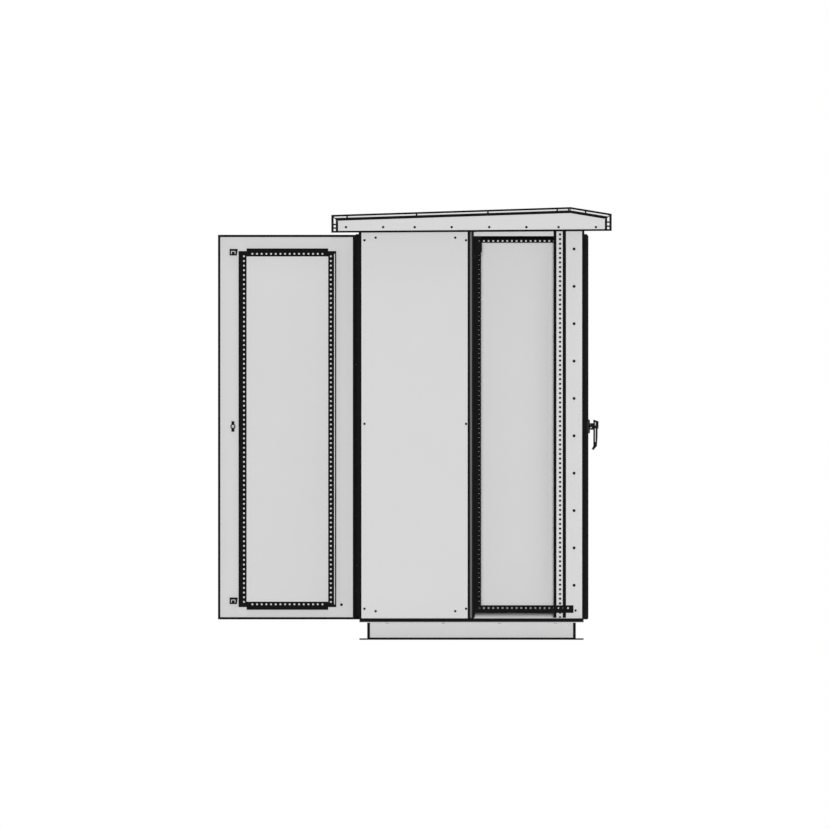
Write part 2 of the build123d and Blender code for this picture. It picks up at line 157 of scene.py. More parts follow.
@dataclass(frozen=True)
class Effect:
    """A shared effect: a shader node group with named inputs and outputs."""

    name: str
    inputs: tuple[tuple[str, str], ...]
    outputs: tuple[tuple[str, str], ...]

    def start(self) -> tuple[NodeSheet, bpy.types.Node, bpy.types.Node]:
        """Makes the empty group.

        Returns:
            The group's sheet, its input node and its output node.
        """
        tree = bpy.data.node_groups.new(self.name, "ShaderNodeTree")
        for in_out, sockets in (("INPUT", self.inputs), ("OUTPUT", self.outputs)):
            for name, kind in sockets:
                tree.interface.new_socket(name=name, in_out=in_out, socket_type=f"NodeSocket{kind}")
        sheet = NodeSheet(tree)
        return sheet, sheet.add("NodeGroupInput"), sheet.add("NodeGroupOutput")


@dataclass
class SharedEffects:
    """The effects that several finishes place, each built once."""

    grain_detail: float = 2.0
    drift_detail: float = 3.0
    dust_scale: float = 14.0
    dust_detail: float = 5.0
    dust_fall: float = 2.0
    line_stretch: tuple[float, float, float] = (1.0, 1.0, 0.02)
    line_detail: float = 3.0
    mark_detail: float = 6.0
    mark_contrast: float = 6.0

    def __post_init__(self) -> None:
        """Builds every group."""
        self.coat_grain = self._coat_grain()
        self.tone = self._tone()
        self.foot_dust = self._foot_dust()
        self.brushed = self._brushed()
        self.rubbed = self._rubbed()

    def _coat_grain(self) -> bpy.types.NodeTree:
        """Fine orange peel as Height, and a slow change over the surface as Drift.

        Returns:
            The group.
        """
        sheet, given, result = Effect(
            "coat_grain",
            (("Vector", "Vector"), ("Grain Scale", "Float"), ("Drift Scale", "Float")),
            (("Height", "Float"), ("Drift", "Float")),
        ).start()
        for scale, detail, target in (
            ("Grain Scale", self.grain_detail, "Height"),
            ("Drift Scale", self.drift_detail, "Drift"),
        ):
            noise = sheet.add(
                "ShaderNodeTexNoise",
                {"Vector": given.outputs["Vector"], "Scale": given.outputs[scale], "Detail": detail},
            )
            sheet.feed(result.inputs[target], noise.outputs[0])
        return sheet.tree

    def _tone(self) -> bpy.types.NodeTree:
        """Lightens and darkens a colour by a share of a 0 to 1 value.

        Returns:
            The group.
        """
        sheet, given, result = Effect(
            "tone",
            (("Colour", "Color"), ("Drift", "Float"), ("Amount", "Float")),
            (("Colour", "Color"),),
        ).start()
        centred = sheet.math("SUBTRACT", given.outputs["Drift"], 0.5)
        change = sheet.math("MULTIPLY", centred, given.outputs["Amount"])
        factor = sheet.math("ADD", change, 1.0)
        scaled = sheet.add(
            "ShaderNodeVectorMath", {0: given.outputs["Colour"], "Scale": factor}, operation="SCALE"
        )
        sheet.feed(result.inputs["Colour"], scaled.outputs[0])
        return sheet.tree

    def _foot_dust(self) -> bpy.types.NodeTree:
        """Patchy dust that fades with height above the ground.

        Returns:
            The group.
        """
        sheet, given, result = Effect(
            "foot_dust",
            (("Vector", "Vector"), ("Reach", "Float")),
            (("Mask", "Float"),),
        ).start()
        height = sheet.add("ShaderNodeSeparateXYZ", {0: given.outputs["Vector"]}).outputs["Z"]
        share = sheet.math("DIVIDE", height, given.outputs["Reach"], clamp=True)
        falling = sheet.math("POWER", sheet.math("SUBTRACT", 1.0, share), self.dust_fall)
        patches = sheet.add(
            "ShaderNodeTexNoise",
            {"Vector": given.outputs["Vector"], "Scale": self.dust_scale, "Detail": self.dust_detail},
        ).outputs[0]
        sheet.feed(result.inputs["Mask"], sheet.math("MULTIPLY", falling, patches))
        return sheet.tree

    def _brushed(self) -> bpy.types.NodeTree:
        """Fine lines that run along Z, as Height.

        Returns:
            The group.
        """
        sheet, given, result = Effect(
            "brushed",
            (("Vector", "Vector"), ("Line Scale", "Float")),
            (("Height", "Float"),),
        ).start()
        stretched = sheet.add(
            "ShaderNodeMapping", {"Vector": given.outputs["Vector"], "Scale": self.line_stretch}
        ).outputs[0]
        noise = sheet.add(
            "ShaderNodeTexNoise",
            {"Vector": stretched, "Scale": given.outputs["Line Scale"], "Detail": self.line_detail},
        )
        sheet.feed(result.inputs["Height"], noise.outputs[0])
        return sheet.tree

    def _rubbed(self) -> bpy.types.NodeTree:
        """Sparse small marks where a surface has been handled, as Mask.

        Returns:
            The group.
        """
        sheet, given, result = Effect(
            "rubbed",
            (("Vector", "Vector"), ("Mark Scale", "Float"), ("Share", "Float")),
            (("Mask", "Float"),),
        ).start()
        inputs = {
            "Vector": given.outputs["Vector"],
            "Scale": given.outputs["Mark Scale"],
            "Detail": self.mark_detail,
        }
        noise = sheet.add("ShaderNodeTexNoise", inputs).outputs[0]
        floor = sheet.math("SUBTRACT", 1.0, given.outputs["Share"])
        above = sheet.math("SUBTRACT", noise, floor)
        sheet.feed(result.inputs["Mask"], sheet.math("MULTIPLY", above, self.mark_contrast, clamp=True))
        return sheet.tree


EFFECTS = SharedEffects()


@dataclass(frozen=True)
class Band:
    """A stretch along one axis, on both sides of the middle where mirrored is set."""

    axis: Axis
    low: float
    high: float
    mirrored: bool = False


@dataclass(frozen=True)
class Marking:
    """A second colour over a part of a finish."""

    colour: Colour

    def mask(self, sheet: NodeSheet, place: bpy.types.NodeSocket) -> bpy.types.NodeSocket:
        """Adds the nodes that are 1 on the marking and 0 outside it.

        Args:
            sheet: the material's sheet.
            place: the point on the object.

        Returns:
            The mask's socket.
        """
        raise NotImplementedError


@dataclass(frozen=True)
class Patch(Marking):
    """A marking where every one of its bands holds."""

    bands: tuple[Band, ...]

    def mask(self, sheet: NodeSheet, place: bpy.types.NodeSocket) -> bpy.types.NodeSocket:
        """Adds the nodes that are 1 within every band and 0 outside.

        Args:
            sheet: the material's sheet.
            place: the point on the object.

        Returns:
            The mask's socket.
        """
        axes = sheet.add("ShaderNodeSeparateXYZ", {0: place})
        whole: Any = 1.0
        for band in self.bands:
            value = axes.outputs[band.axis.value]
            if band.mirrored:
                value = sheet.math("ABSOLUTE", value)
            middle, reach = (band.low + band.high) / 2, (band.high - band.low) / 2
            whole = sheet.math("MULTIPLY", whole, sheet.math("COMPARE", value, middle, reach))
        return whole


@dataclass(frozen=True)
class PaintedHoleShade(Marking):
    """A marking of painted shade: dark discs round the holes of a row that runs up Z, on both sides of the
    middle, standing for the shade inside the holes.
    """

    column: float
    first: float
    pitch: float
    radius: float

    def mask(self, sheet: NodeSheet, place: bpy.types.NodeSocket) -> bpy.types.NodeSocket:
        """Adds the nodes that are 1 on the rims and 0 outside them.

        Args:
            sheet: the material's sheet.
            place: the point on the object.

        Returns:
            The mask's socket.
        """
        axes = sheet.add("ShaderNodeSeparateXYZ", {0: place}).outputs
        across = sheet.math("SUBTRACT", sheet.math("ABSOLUTE", axes["X"]), self.column)
        level = sheet.math("SUBTRACT", axes["Z"], self.first)
        along = sheet.math("WRAP", level, self.pitch / 2, -self.pitch / 2)
        squares = [sheet.math("MULTIPLY", value, value) for value in (across, along)]
        return sheet.math("LESS_THAN", sheet.math("ADD", *squares), self.radius ** 2)


@dataclass(frozen=True)
class Finish:
    """A surface finish. Every kind has a base colour, a roughness and a specular level."""

    name: str
    colour: Colour
    roughness: float = 0.5
    specular: float = 0.5

    def material(self) -> bpy.types.Material:
        """Gives the finish's material, made the first time it is asked for.

        Returns:
            The material.
        """
        found = bpy.data.materials.get(self.name)
        if found is not None:
            return found
        made = bpy.data.materials.new(self.name)
        made.use_nodes = True
        made.diffuse_color = (*self.colour, 1.0)
        sheet = NodeSheet(made.node_tree)
        shader = made.node_tree.nodes["Principled BSDF"]
        shader.inputs["Specular IOR Level"].default_value = self.specular
        place = sheet.add("ShaderNodeTexCoord").outputs["Object"]
        self.dress(sheet, shader, place)
        return made

    def dress(self, sheet: NodeSheet, shader: bpy.types.Node, place: bpy.types.NodeSocket) -> None:
        """Adds this finish's own nodes.

        Args:
            sheet: the material's sheet.
            shader: its Principled BSDF.
            place: the point on the object.
        """
        raise NotImplementedError

    def varied_roughness(self, sheet: NodeSheet, value: bpy.types.NodeSocket,
                         spread: float) -> bpy.types.NodeSocket:
        """Adds a roughness that moves round the finish's own as value goes from 0 to 1."""
        inputs = {"Value": value, "To Min": self.roughness - spread, "To Max": self.roughness + spread}
        return sheet.add("ShaderNodeMapRange", inputs).outputs[0]

    def bump(self, sheet: NodeSheet, height: bpy.types.NodeSocket, depth: float) -> bpy.types.NodeSocket:
        """Adds a Bump node of this depth in metres and returns its normal."""
        return sheet.add("ShaderNodeBump", {"Strength": 1.0, "Distance": depth, "Height": height}).outputs[0]


@dataclass(frozen=True)
class PowderCoat(Finish):
    """Baked powder on sheet steel: orange peel, a slow drift of tone, dust near the ground, markings."""

    grain_scale: float = 420.0
    grain_depth: float = 0.00022
    drift_scale: float = 3.0
    tone_amount: float = 0.035
    roughness_spread: float = 0.06
    dust_reach: float = 0.35
    dust_share: float = 0.16
    marking_specular: float = 0.03
    markings: tuple[Marking, ...] = ()

    def dress(self, sheet: NodeSheet, shader: bpy.types.Node, place: bpy.types.NodeSocket) -> None:
        """Adds the coat's colour, roughness and peel.

        Args:
            sheet: the material's sheet.
            shader: its Principled BSDF.
            place: the point on the object.
        """
        grain = sheet.group(
            EFFECTS.coat_grain,
            {"Vector": place, "Grain Scale": self.grain_scale, "Drift Scale": self.drift_scale},
        )
        drift = grain.outputs["Drift"]
        toned = sheet.group(
            EFFECTS.tone, {"Colour": self.colour, "Drift": drift, "Amount": self.tone_amount}
        )
        dust = sheet.group(EFFECTS.foot_dust, {"Vector": place, "Reach": self.dust_reach})
        share = sheet.math("MULTIPLY", dust.outputs["Mask"], self.dust_share)
        base = sheet.mix(share, toned.outputs["Colour"], DUST)
        if self.markings:
            covered: Any = 0.0
            for marking in self.markings:
                mask = marking.mask(sheet, place)
                base = sheet.mix(mask, base, marking.colour)
                covered = sheet.math("MAXIMUM", covered, mask)
            change = self.marking_specular - self.specular
            level = sheet.math("MULTIPLY_ADD", covered, change, self.specular)
            sheet.feed(shader.inputs["Specular IOR Level"], level)
        sheet.feed(shader.inputs["Base Color"], base)
        sheet.feed(shader.inputs["Roughness"], self.varied_roughness(sheet, drift, self.roughness_spread))
        sheet.feed(shader.inputs["Normal"], self.bump(sheet, grain.outputs["Height"], self.grain_depth))


@dataclass(frozen=True)
class CoatedSteel(Finish):
    """Thin dip coat on profile steel: fine grain, drawing lines, rubbed spots that are smoother, markings."""

    grain_scale: float = 900.0
    grain_depth: float = 0.00008
    drift_scale: float = 5.0
    line_scale: float = 700.0
    tone_amount: float = 0.06
    rubbed_colour: Colour = WORN_BLACK
    rubbed_scale: float = 34.0
    rubbed_share: float = 0.36
    rubbed_strength: float = 0.35
    rubbed_smoothing: float = 0.07
    markings: tuple[Marking, ...] = ()

    def dress(self, sheet: NodeSheet, shader: bpy.types.Node, place: bpy.types.NodeSocket) -> None:
        """Adds the coat's colour, rubbed spots, roughness and drawing lines.

        Args:
            sheet: the material's sheet.
            shader: its Principled BSDF.
            place: the point on the object.
        """
        grain = sheet.group(
            EFFECTS.coat_grain,
            {"Vector": place, "Grain Scale": self.grain_scale, "Drift Scale": self.drift_scale},
        )
        lines = sheet.group(EFFECTS.brushed, {"Vector": place, "Line Scale": self.line_scale})
        marks = sheet.group(
            EFFECTS.rubbed, {"Vector": place, "Mark Scale": self.rubbed_scale, "Share": self.rubbed_share}
        ).outputs["Mask"]
        share = sheet.math("MULTIPLY", marks, self.rubbed_strength)
        base = sheet.mix(share, self.colour, self.rubbed_colour)
        for marking in self.markings:
            base = sheet.mix(marking.mask(sheet, place), base, marking.colour)
        toned = sheet.group(
            EFFECTS.tone, {"Colour": base, "Drift": grain.outputs["Drift"], "Amount": self.tone_amount}
        )
        height = sheet.math("ADD", grain.outputs["Height"], lines.outputs["Height"])
        sheet.feed(shader.inputs["Base Color"], toned.outputs["Colour"])
        sheet.feed(shader.inputs["Roughness"], self.varied_roughness(sheet, marks, -self.rubbed_smoothing))
        sheet.feed(shader.inputs["Normal"], self.bump(sheet, height, self.grain_depth))


@dataclass(frozen=True)
class Plating(Finish):
    """Bright zinc on small hardware: cloudy tone and a fine grain."""

    metallic: float = 0.35
    grain_scale: float = 1400.0
    grain_depth: float = 0.00005
    drift_scale: float = 160.0
    tone_amount: float = 0.2
    roughness_spread: float = 0.08

    def dress(self, sheet: NodeSheet, shader: bpy.types.Node, place: bpy.types.NodeSocket) -> None:
        """Adds the plating's cloudy colour and grain.

        Args:
            sheet: the material's sheet.
            shader: its Principled BSDF.
            place: the point on the object.
        """
        shader.inputs["Metallic"].default_value = self.metallic
        cloud = sheet.group(
            EFFECTS.coat_grain,
            {"Vector": place, "Grain Scale": self.grain_scale, "Drift Scale": self.drift_scale},
        )
        drift = cloud.outputs["Drift"]
        toned = sheet.group(
            EFFECTS.tone, {"Colour": self.colour, "Drift": drift, "Amount": self.tone_amount}
        )
        sheet.feed(shader.inputs["Base Color"], toned.outputs["Colour"])
        sheet.feed(shader.inputs["Roughness"], self.varied_roughness(sheet, drift, self.roughness_spread))
        sheet.feed(shader.inputs["Normal"], self.bump(sheet, cloud.outputs["Height"], self.grain_depth))


@dataclass(frozen=True)
class Rubber(Finish):
    """Extruded rubber: fine ribs up its height and a dry bloom."""

    bloom: Colour = RUBBER_BLOOM
    bloom_share: float = 0.3
    grain_scale: float = 650.0
    grain_depth: float = 0.00012
    drift_scale: float = 9.0
    rib_scale: float = 420.0
    roughness_spread: float = 0.05

    def dress(self, sheet: NodeSheet, shader: bpy.types.Node, place: bpy.types.NodeSocket) -> None:
        """Adds the rubber's bloom, roughness and ribs.

        Args:
            sheet: the material's sheet.
            shader: its Principled BSDF.
            place: the point on the object.
        """
        grain = sheet.group(
            EFFECTS.coat_grain,
            {"Vector": place, "Grain Scale": self.grain_scale, "Drift Scale": self.drift_scale},
        )
        drift = grain.outputs["Drift"]
        ribs = sheet.group(EFFECTS.brushed, {"Vector": place, "Line Scale": self.rib_scale})
        bloomed = sheet.mix(sheet.math("MULTIPLY", drift, self.bloom_share), self.colour, self.bloom)
        height = sheet.math("ADD", grain.outputs["Height"], ribs.outputs["Height"])
        sheet.feed(shader.inputs["Base Color"], bloomed)
        sheet.feed(shader.inputs["Roughness"], self.varied_roughness(sheet, drift, self.roughness_spread))
        sheet.feed(shader.inputs["Normal"], self.bump(sheet, height, self.grain_depth))


@dataclass(frozen=True)
class Moulding(Finish):
    """Moulded plastic with an eroded grain."""

    cell_scale: float = 1100.0
    grain_depth: float = 0.0001
    drift_scale: float = 20.0
    tone_amount: float = 0.15
    roughness_spread: float = 0.05

    def dress(self, sheet: NodeSheet, shader: bpy.types.Node, place: bpy.types.NodeSocket) -> None:
        """Adds the grain's cells and a slight change of tone.

        Args:
            sheet: the material's sheet.
            shader: its Principled BSDF.
            place: the point on the object.
        """
        cells = sheet.add("ShaderNodeTexVoronoi", {"Vector": place, "Scale": self.cell_scale}).outputs[0]
        cloud = sheet.group(EFFECTS.coat_grain, {"Vector": place, "Drift Scale": self.drift_scale})
        drift = cloud.outputs["Drift"]
        toned = sheet.group(
            EFFECTS.tone, {"Colour": self.colour, "Drift": drift, "Amount": self.tone_amount}
        )
        sheet.feed(shader.inputs["Base Color"], toned.outputs["Colour"])
        sheet.feed(shader.inputs["Roughness"], self.varied_roughness(sheet, drift, self.roughness_spread))
        sheet.feed(shader.inputs["Normal"], self.bump(sheet, cells, self.grain_depth))


# Where the markings lie: out from the middle along X and Y, and up from the ground along Z.
SURROUND_EDGE = Band(Axis.Y, 0.3746, 0.3760, mirrored=True)
HEADER_FACE = Band(Axis.Y, 0.3562, 0.3578, mirrored=True)
UPRIGHT_FACE = Band(Axis.Y, 0.3283, 0.3310, mirrored=True)
UPRIGHT_STRIP = Band(Axis.X, 0.4548, 0.4880, mirrored=True)
UPRIGHT_EDGES = (
    Band(Axis.X, 0.4390, 0.4548, mirrored=True),
    Band(Axis.X, 0.4880, 0.5070, mirrored=True),
)
# Painted shade: black discs round the upright's holes, and on the header face where it has no holes, stand
# for the shade inside the holes.
UPRIGHT_HOLE_SHADE = PaintedHoleShade(SOFT_BLACK, column=0.474, first=0.145, pitch=0.025, radius=0.0064)
PLINTH_FLANGES = (Band(Axis.Z, -0.0010, 0.0122), Band(Axis.Z, 0.0952, 0.1010))


class Finishes:
    """Every finish on the housing."""

    panel_coat = PowderCoat("panel_coat", LIGHT_GREY, roughness=0.46, specular=0.3)
    surround_coat = PowderCoat(
        "surround_coat", LIGHT_GREY, roughness=0.46, specular=0.3,
        markings=(Patch(SOFT_BLACK, (SURROUND_EDGE,)),),
    )
    # The header's markings carry the upright's black edge bands and its painted hole shade up across the
    # header face.
    header_coat = PowderCoat(
        "header_paint", LIGHT_GREY, roughness=0.46, specular=0.3,
        markings=(*(Patch(SOFT_BLACK, (edge, HEADER_FACE)) for edge in UPRIGHT_EDGES), UPRIGHT_HOLE_SHADE),
    )
    plinth_coat = PowderCoat(
        "plinth_paint", LIGHT_GREY, roughness=0.5, specular=0.3, dust_reach=0.16, dust_share=0.3,
        markings=tuple(Patch(SOFT_BLACK, (flange,)) for flange in PLINTH_FLANGES),
    )
    base_frame = CoatedSteel("base_frame_coat", SOFT_BLACK, roughness=0.55, specular=0.03, grain_scale=600.0)
    strip_upright = CoatedSteel(
        "upright_coat", SOFT_BLACK, roughness=0.62, specular=0.03,
        markings=(Patch(LIGHT_GREY, (UPRIGHT_STRIP, UPRIGHT_FACE)), UPRIGHT_HOLE_SHADE),
    )
    black_profile = CoatedSteel("profile_dip_coat", SOFT_BLACK, roughness=0.62, specular=0.03)
    black_steel = CoatedSteel("steel_dip_coat", SOFT_BLACK, roughness=0.55, specular=0.03, grain_scale=600.0)
    black_fastener = CoatedSteel(
        "fastener_coat", SOFT_BLACK, roughness=0.5, specular=0.04, grain_scale=1500.0,
    )
    black_rubber = Rubber("seal_rubber", RUBBER_BLACK, roughness=0.78, specular=0.02)
    grey_insert = Rubber("grey_insert", MID_GREY, roughness=0.7, specular=0.25, bloom=INSERT_BLOOM)
    black_moulding = Moulding("handle_moulding", MOULDED_BLACK, roughness=0.5, specular=0.06)
    zinc = Plating("zinc", ZINC_GREY, roughness=0.42, specular=0.5)


@dataclass(frozen=True)
class Head:
    """A round screw or bolt head with a drive recess, whose wall slopes by a share of the drive's radius."""

    radius: float
    height: float
    edge: float
    drive: float
    recess: float
    segments: int = 16
    drive_slope: float = 0.1


@dataclass(frozen=True)
class Stud:
    """A round stud, nut or washer with a rounded front edge."""

    radius: float
    length: float
    edge: float
    segments: int = 20


PAN_HEAD = Head(radius=0.0064, height=0.0026, edge=0.0009, drive=0.0028, recess=0.0012)
STRIP_HEAD = Head(radius=0.0080, height=0.0030, edge=0.0010, drive=0.0034, recess=0.0014)
FLUSH_HEAD = Head(radius=0.0067, height=0.0004, edge=0.0001, drive=0.0024, recess=0.0002)
SMALL_HEAD = Head(radius=0.0035, height=0.0014, edge=0.0005, drive=0.0016, recess=0.0007, segments=12)
BOLT_HEAD = Head(radius=0.0085, height=0.0055, edge=0.0012, drive=0.0045, recess=0.0030, segments=20)
LOCK_NUT = Stud(radius=0.0078, length=0.0045, edge=0.0010, segments=24)
SPINDLE_END = Stud(radius=0.0035, length=0.0030, edge=0.0006, segments=12)
GRUB_SCREW = Stud(radius=0.0036, length=0.0022, edge=0.0004, segments=16)
EARTH_STUD = (
    Stud(radius=0.0075, length=0.0015, edge=0.0005),
    Stud(radius=0.0055, length=0.0055, edge=0.0005, segments=6),
    Stud(radius=0.0030, length=0.0140, edge=0.0005, segments=12),
)


class PieceMesh:
    """A mesh in hand that gathers the shapes of one piece."""

    def __init__(self) -> None:
        """Starts an empty mesh."""
        self.mesh = bmesh.new()

    def round_off(self, edges: Sequence[bmesh.types.BMEdge], size: float, segments: int = 2) -> None:
        """Bevels edges to this size."""
        bmesh.ops.bevel(
            self.mesh, geom=list(edges), offset=size, offset_type="OFFSET", segments=segments,
            profile=0.5, affect="EDGES", material=-1, clamp_overlap=True,
        )

    def bar(self, low: Sequence[float], high: Sequence[float], edge: float = 0.0,
            place: Matrix = Matrix.Identity(4)) -> None:
        """Adds a bar between two corners.

        Args:
            low: one corner.
            high: the opposite corner.
            edge: how far its edges are rounded off.
            place: turns and moves it.
        """
        first, second = Vector(low), Vector(high)
        size = [abs(length) for length in second - first]
        shape = place @ Matrix.Translation((first + second) / 2) @ Matrix.Diagonal((*size, 1.0))
        made = bmesh.ops.create_cube(self.mesh, size=1.0, matrix=shape)
        if edge > 0:
            self.round_off({line for vert in made["verts"] for line in vert.link_edges}, edge)

    def _disc(self, centre: Sequence[float], outward: Vector, radius: float, length: float,
              segments: int) -> bmesh.types.BMFace:
        """Adds a round disc that stands on a surface.

        Args:
            centre: the middle of its foot.
            outward: the surface's direction, one long.
            radius: its radius.
            length: how far it stands out.
            segments: sides of the round.

        Returns:
            Its outer face.
        """
        turn = outward.to_track_quat("Z", "Y").to_matrix().to_4x4()
        place = Matrix.Translation(Vector(centre) + outward * length / 2) @ turn
        made = bmesh.ops.create_cone(
            self.mesh, cap_ends=True, cap_tris=False, segments=segments,
            radius1=radius, radius2=radius, depth=length, matrix=place,
        )
        faces = {face for vert in made["verts"] for face in vert.link_faces}
        for face in faces:
            face.normal_update()
        return max(faces, key=lambda face: face.normal.dot(outward))

    def head(self, centre: Sequence[float], outward: Sequence[float], head: Head) -> None:
        """Adds a screw head that stands on a surface.

        Args:
            centre: the point on the surface.
            outward: the surface's direction.
            head: the head's sizes.
        """
        normal = Vector(outward).normalized()
        top = self._disc(centre, normal, head.radius, head.height, head.segments)
        rim = list(top.edges)
        bmesh.ops.inset_individual(self.mesh, faces=[top], thickness=head.radius - head.drive)
        slope = head.drive * head.drive_slope
        bmesh.ops.inset_individual(self.mesh, faces=[top], thickness=slope, depth=-head.recess)
        self.round_off(rim, head.edge)

    def stud(self, centre: Sequence[float], outward: Sequence[float], stud: Stud) -> None:
        """Adds a round stud, nut or washer.

        Args:
            centre: the middle of its foot.
            outward: the way it points.
            stud: the stud's sizes.
        """
        normal = Vector(outward).normalized()
        top = self._disc(centre, normal, stud.radius, stud.length, stud.segments)
        self.round_off(list(top.edges), stud.edge)

    def wall(self, outline: Sequence[Sequence[float]], rise: float, thickness: float,
             edge: float = 0.0) -> None:
        """Adds a wall that follows a closed level outline, thick inwards.

        Args:
            outline: the outer corners in order, at the wall's foot.
            rise: its height, downwards where negative.
            thickness: how thick it is.
            edge: how far its edges are rounded off.
        """
        sheet = self.mesh.faces.new([self.mesh.verts.new(point) for point in outline])
        sheet.normal_update()
        ring = bmesh.ops.inset_individual(
            self.mesh, faces=[sheet], thickness=thickness, use_even_offset=True
        )["faces"]
        bmesh.ops.delete(self.mesh, geom=[sheet], context="FACES_ONLY")
        made = bmesh.ops.extrude_face_region(self.mesh, geom=ring)["geom"]
        moved = [item for item in made if isinstance(item, bmesh.types.BMVert)]
        bmesh.ops.translate(self.mesh, verts=moved, vec=(0.0, 0.0, rise))
        if edge > 0:
            touched = {line for vert in moved for line in vert.link_edges}
            flat = {line for line in touched if abs(line.verts[0].co.z - line.verts[1].co.z) < abs(rise) / 2
                    and len(line.link_faces) == 2 and line.calc_face_angle(0.0) > CREASE_ANGLE}
            self.round_off(flat, edge)

    def ribbon(self, starts: Sequence[Vector], ends: Sequence[Vector], outward: Vector,
               thickness: float) -> None:
        """Adds a flat ribbon between two lines of points, lifted outwards to its thickness.

        Args:
            starts: the points of one edge.
            ends: the points of the other edge.
            outward: roughly the way its face looks.
            thickness: how far it stands off its surface.
        """
        verts = [self.mesh.verts.new(point) for point in starts]
        edges = [self.mesh.edges.new(pair) for pair in zip(verts, verts[1:])]
        made = bmesh.ops.extrude_edge_only(self.mesh, edges=edges)["geom"]
        faces = [item for item in made if isinstance(item, bmesh.types.BMFace)]
        moved = [item for item in made if isinstance(item, bmesh.types.BMVert)]
        targets = {tuple(vert.co): end for vert, end in zip(verts, ends)}
        for vert in moved:
            bmesh.ops.translate(self.mesh, verts=[vert], vec=targets[tuple(vert.co)] - vert.co)
        for face in faces:
            face.normal_update()
        if sum(face.normal.dot(outward) for face in faces) < 0:
            bmesh.ops.reverse_faces(self.mesh, faces=faces)
        bmesh.ops.solidify(self.mesh, geom=faces, thickness=-thickness)

    def piece(self, name: str, body: str, finish: Finish) -> bpy.types.Object:
        """Ends the mesh and makes it a piece of the housing.

        Args:
            name: the piece's name.
            body: the CAD body that it rides on.
            finish: its finish.

        Returns:
            The piece.
        """
        bmesh.ops.recalc_face_normals(self.mesh, faces=self.mesh.faces)
        for face in self.mesh.faces:
            face.smooth = True
        for line in self.mesh.edges:
            if len(line.link_faces) == 2 and line.calc_face_angle(0.0) > CREASE_ANGLE:
                line.smooth = False
        data = bpy.data.meshes.new(name)
        self.mesh.to_mesh(data)
        self.mesh.free()
        made = bpy.data.objects.new(name, data)
        bpy.context.scene.collection.objects.link(made)
        data.materials.append(finish.material())
        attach(made, body)
        LOG.info("%s rides on %s in %s", name, body, finish.name)
        return made


class FrameDressing:
    """Gives every CAD node the finish of the real piece."""

    ENCLOSURE = {
        "base_frame": Finishes.base_frame,
        "bottom_rails": Finishes.black_profile,
        "ceiling_plate": Finishes.panel_coat,
        "centre_posts": Finishes.black_steel,
        "centre_uprights": Finishes.black_profile,
        "corner_posts": Finishes.panel_coat,
        "far_panel_front": Finishes.panel_coat,
        "far_panel_rear": Finishes.panel_coat,
        "floor_plate": Finishes.panel_coat,
        "mounting_uprights": Finishes.strip_upright,
        "near_panel_front": Finishes.panel_coat,
        "plinth_ends": Finishes.plinth_coat,
        "plinth_sides": Finishes.plinth_coat,
        "roof_bearers": Finishes.panel_coat,
        "roof_end_fascias": Finishes.panel_coat,
        "roof_front_slope": Finishes.panel_coat,
        "roof_rear_slope": Finishes.panel_coat,
        "roof_side_fascias": Finishes.panel_coat,
        "top_bars": Finishes.header_coat,
        "top_rails": Finishes.black_profile,
        "upper_bracket": Finishes.black_steel,
    }
    DOOR = {
        "door_catches": Finishes.black_steel,
        "door_edge": Finishes.black_rubber,
        "door_rails": Finishes.black_profile,
        "door_rosette": Finishes.black_moulding,
        "door_skin": Finishes.panel_coat,
        "door_surround": Finishes.surround_coat,
        "door_uprights": Finishes.black_profile,
        "doorway_seal": Finishes.black_rubber,
        "handle_lever": Finishes.black_moulding,
        "hinge_body_leaf": Finishes.black_steel,
        "hinge_door_leaf": Finishes.black_steel,
        "lock_cam": Finishes.black_steel,
    }

    def build(self) -> None:
        """Assigns the finishes."""
        chosen = dict(self.ENCLOSURE)
        for end in DoorEnd:
            chosen.update({f"{end.value}_{name}": finish for name, finish in self.DOOR.items()})
        for name, node in frame["nodes"].items():
            finish = chosen[name]
            node.data.materials.clear()
            node.data.materials.append(finish.material())
            LOG.info("node %s in %s", name, finish.name)


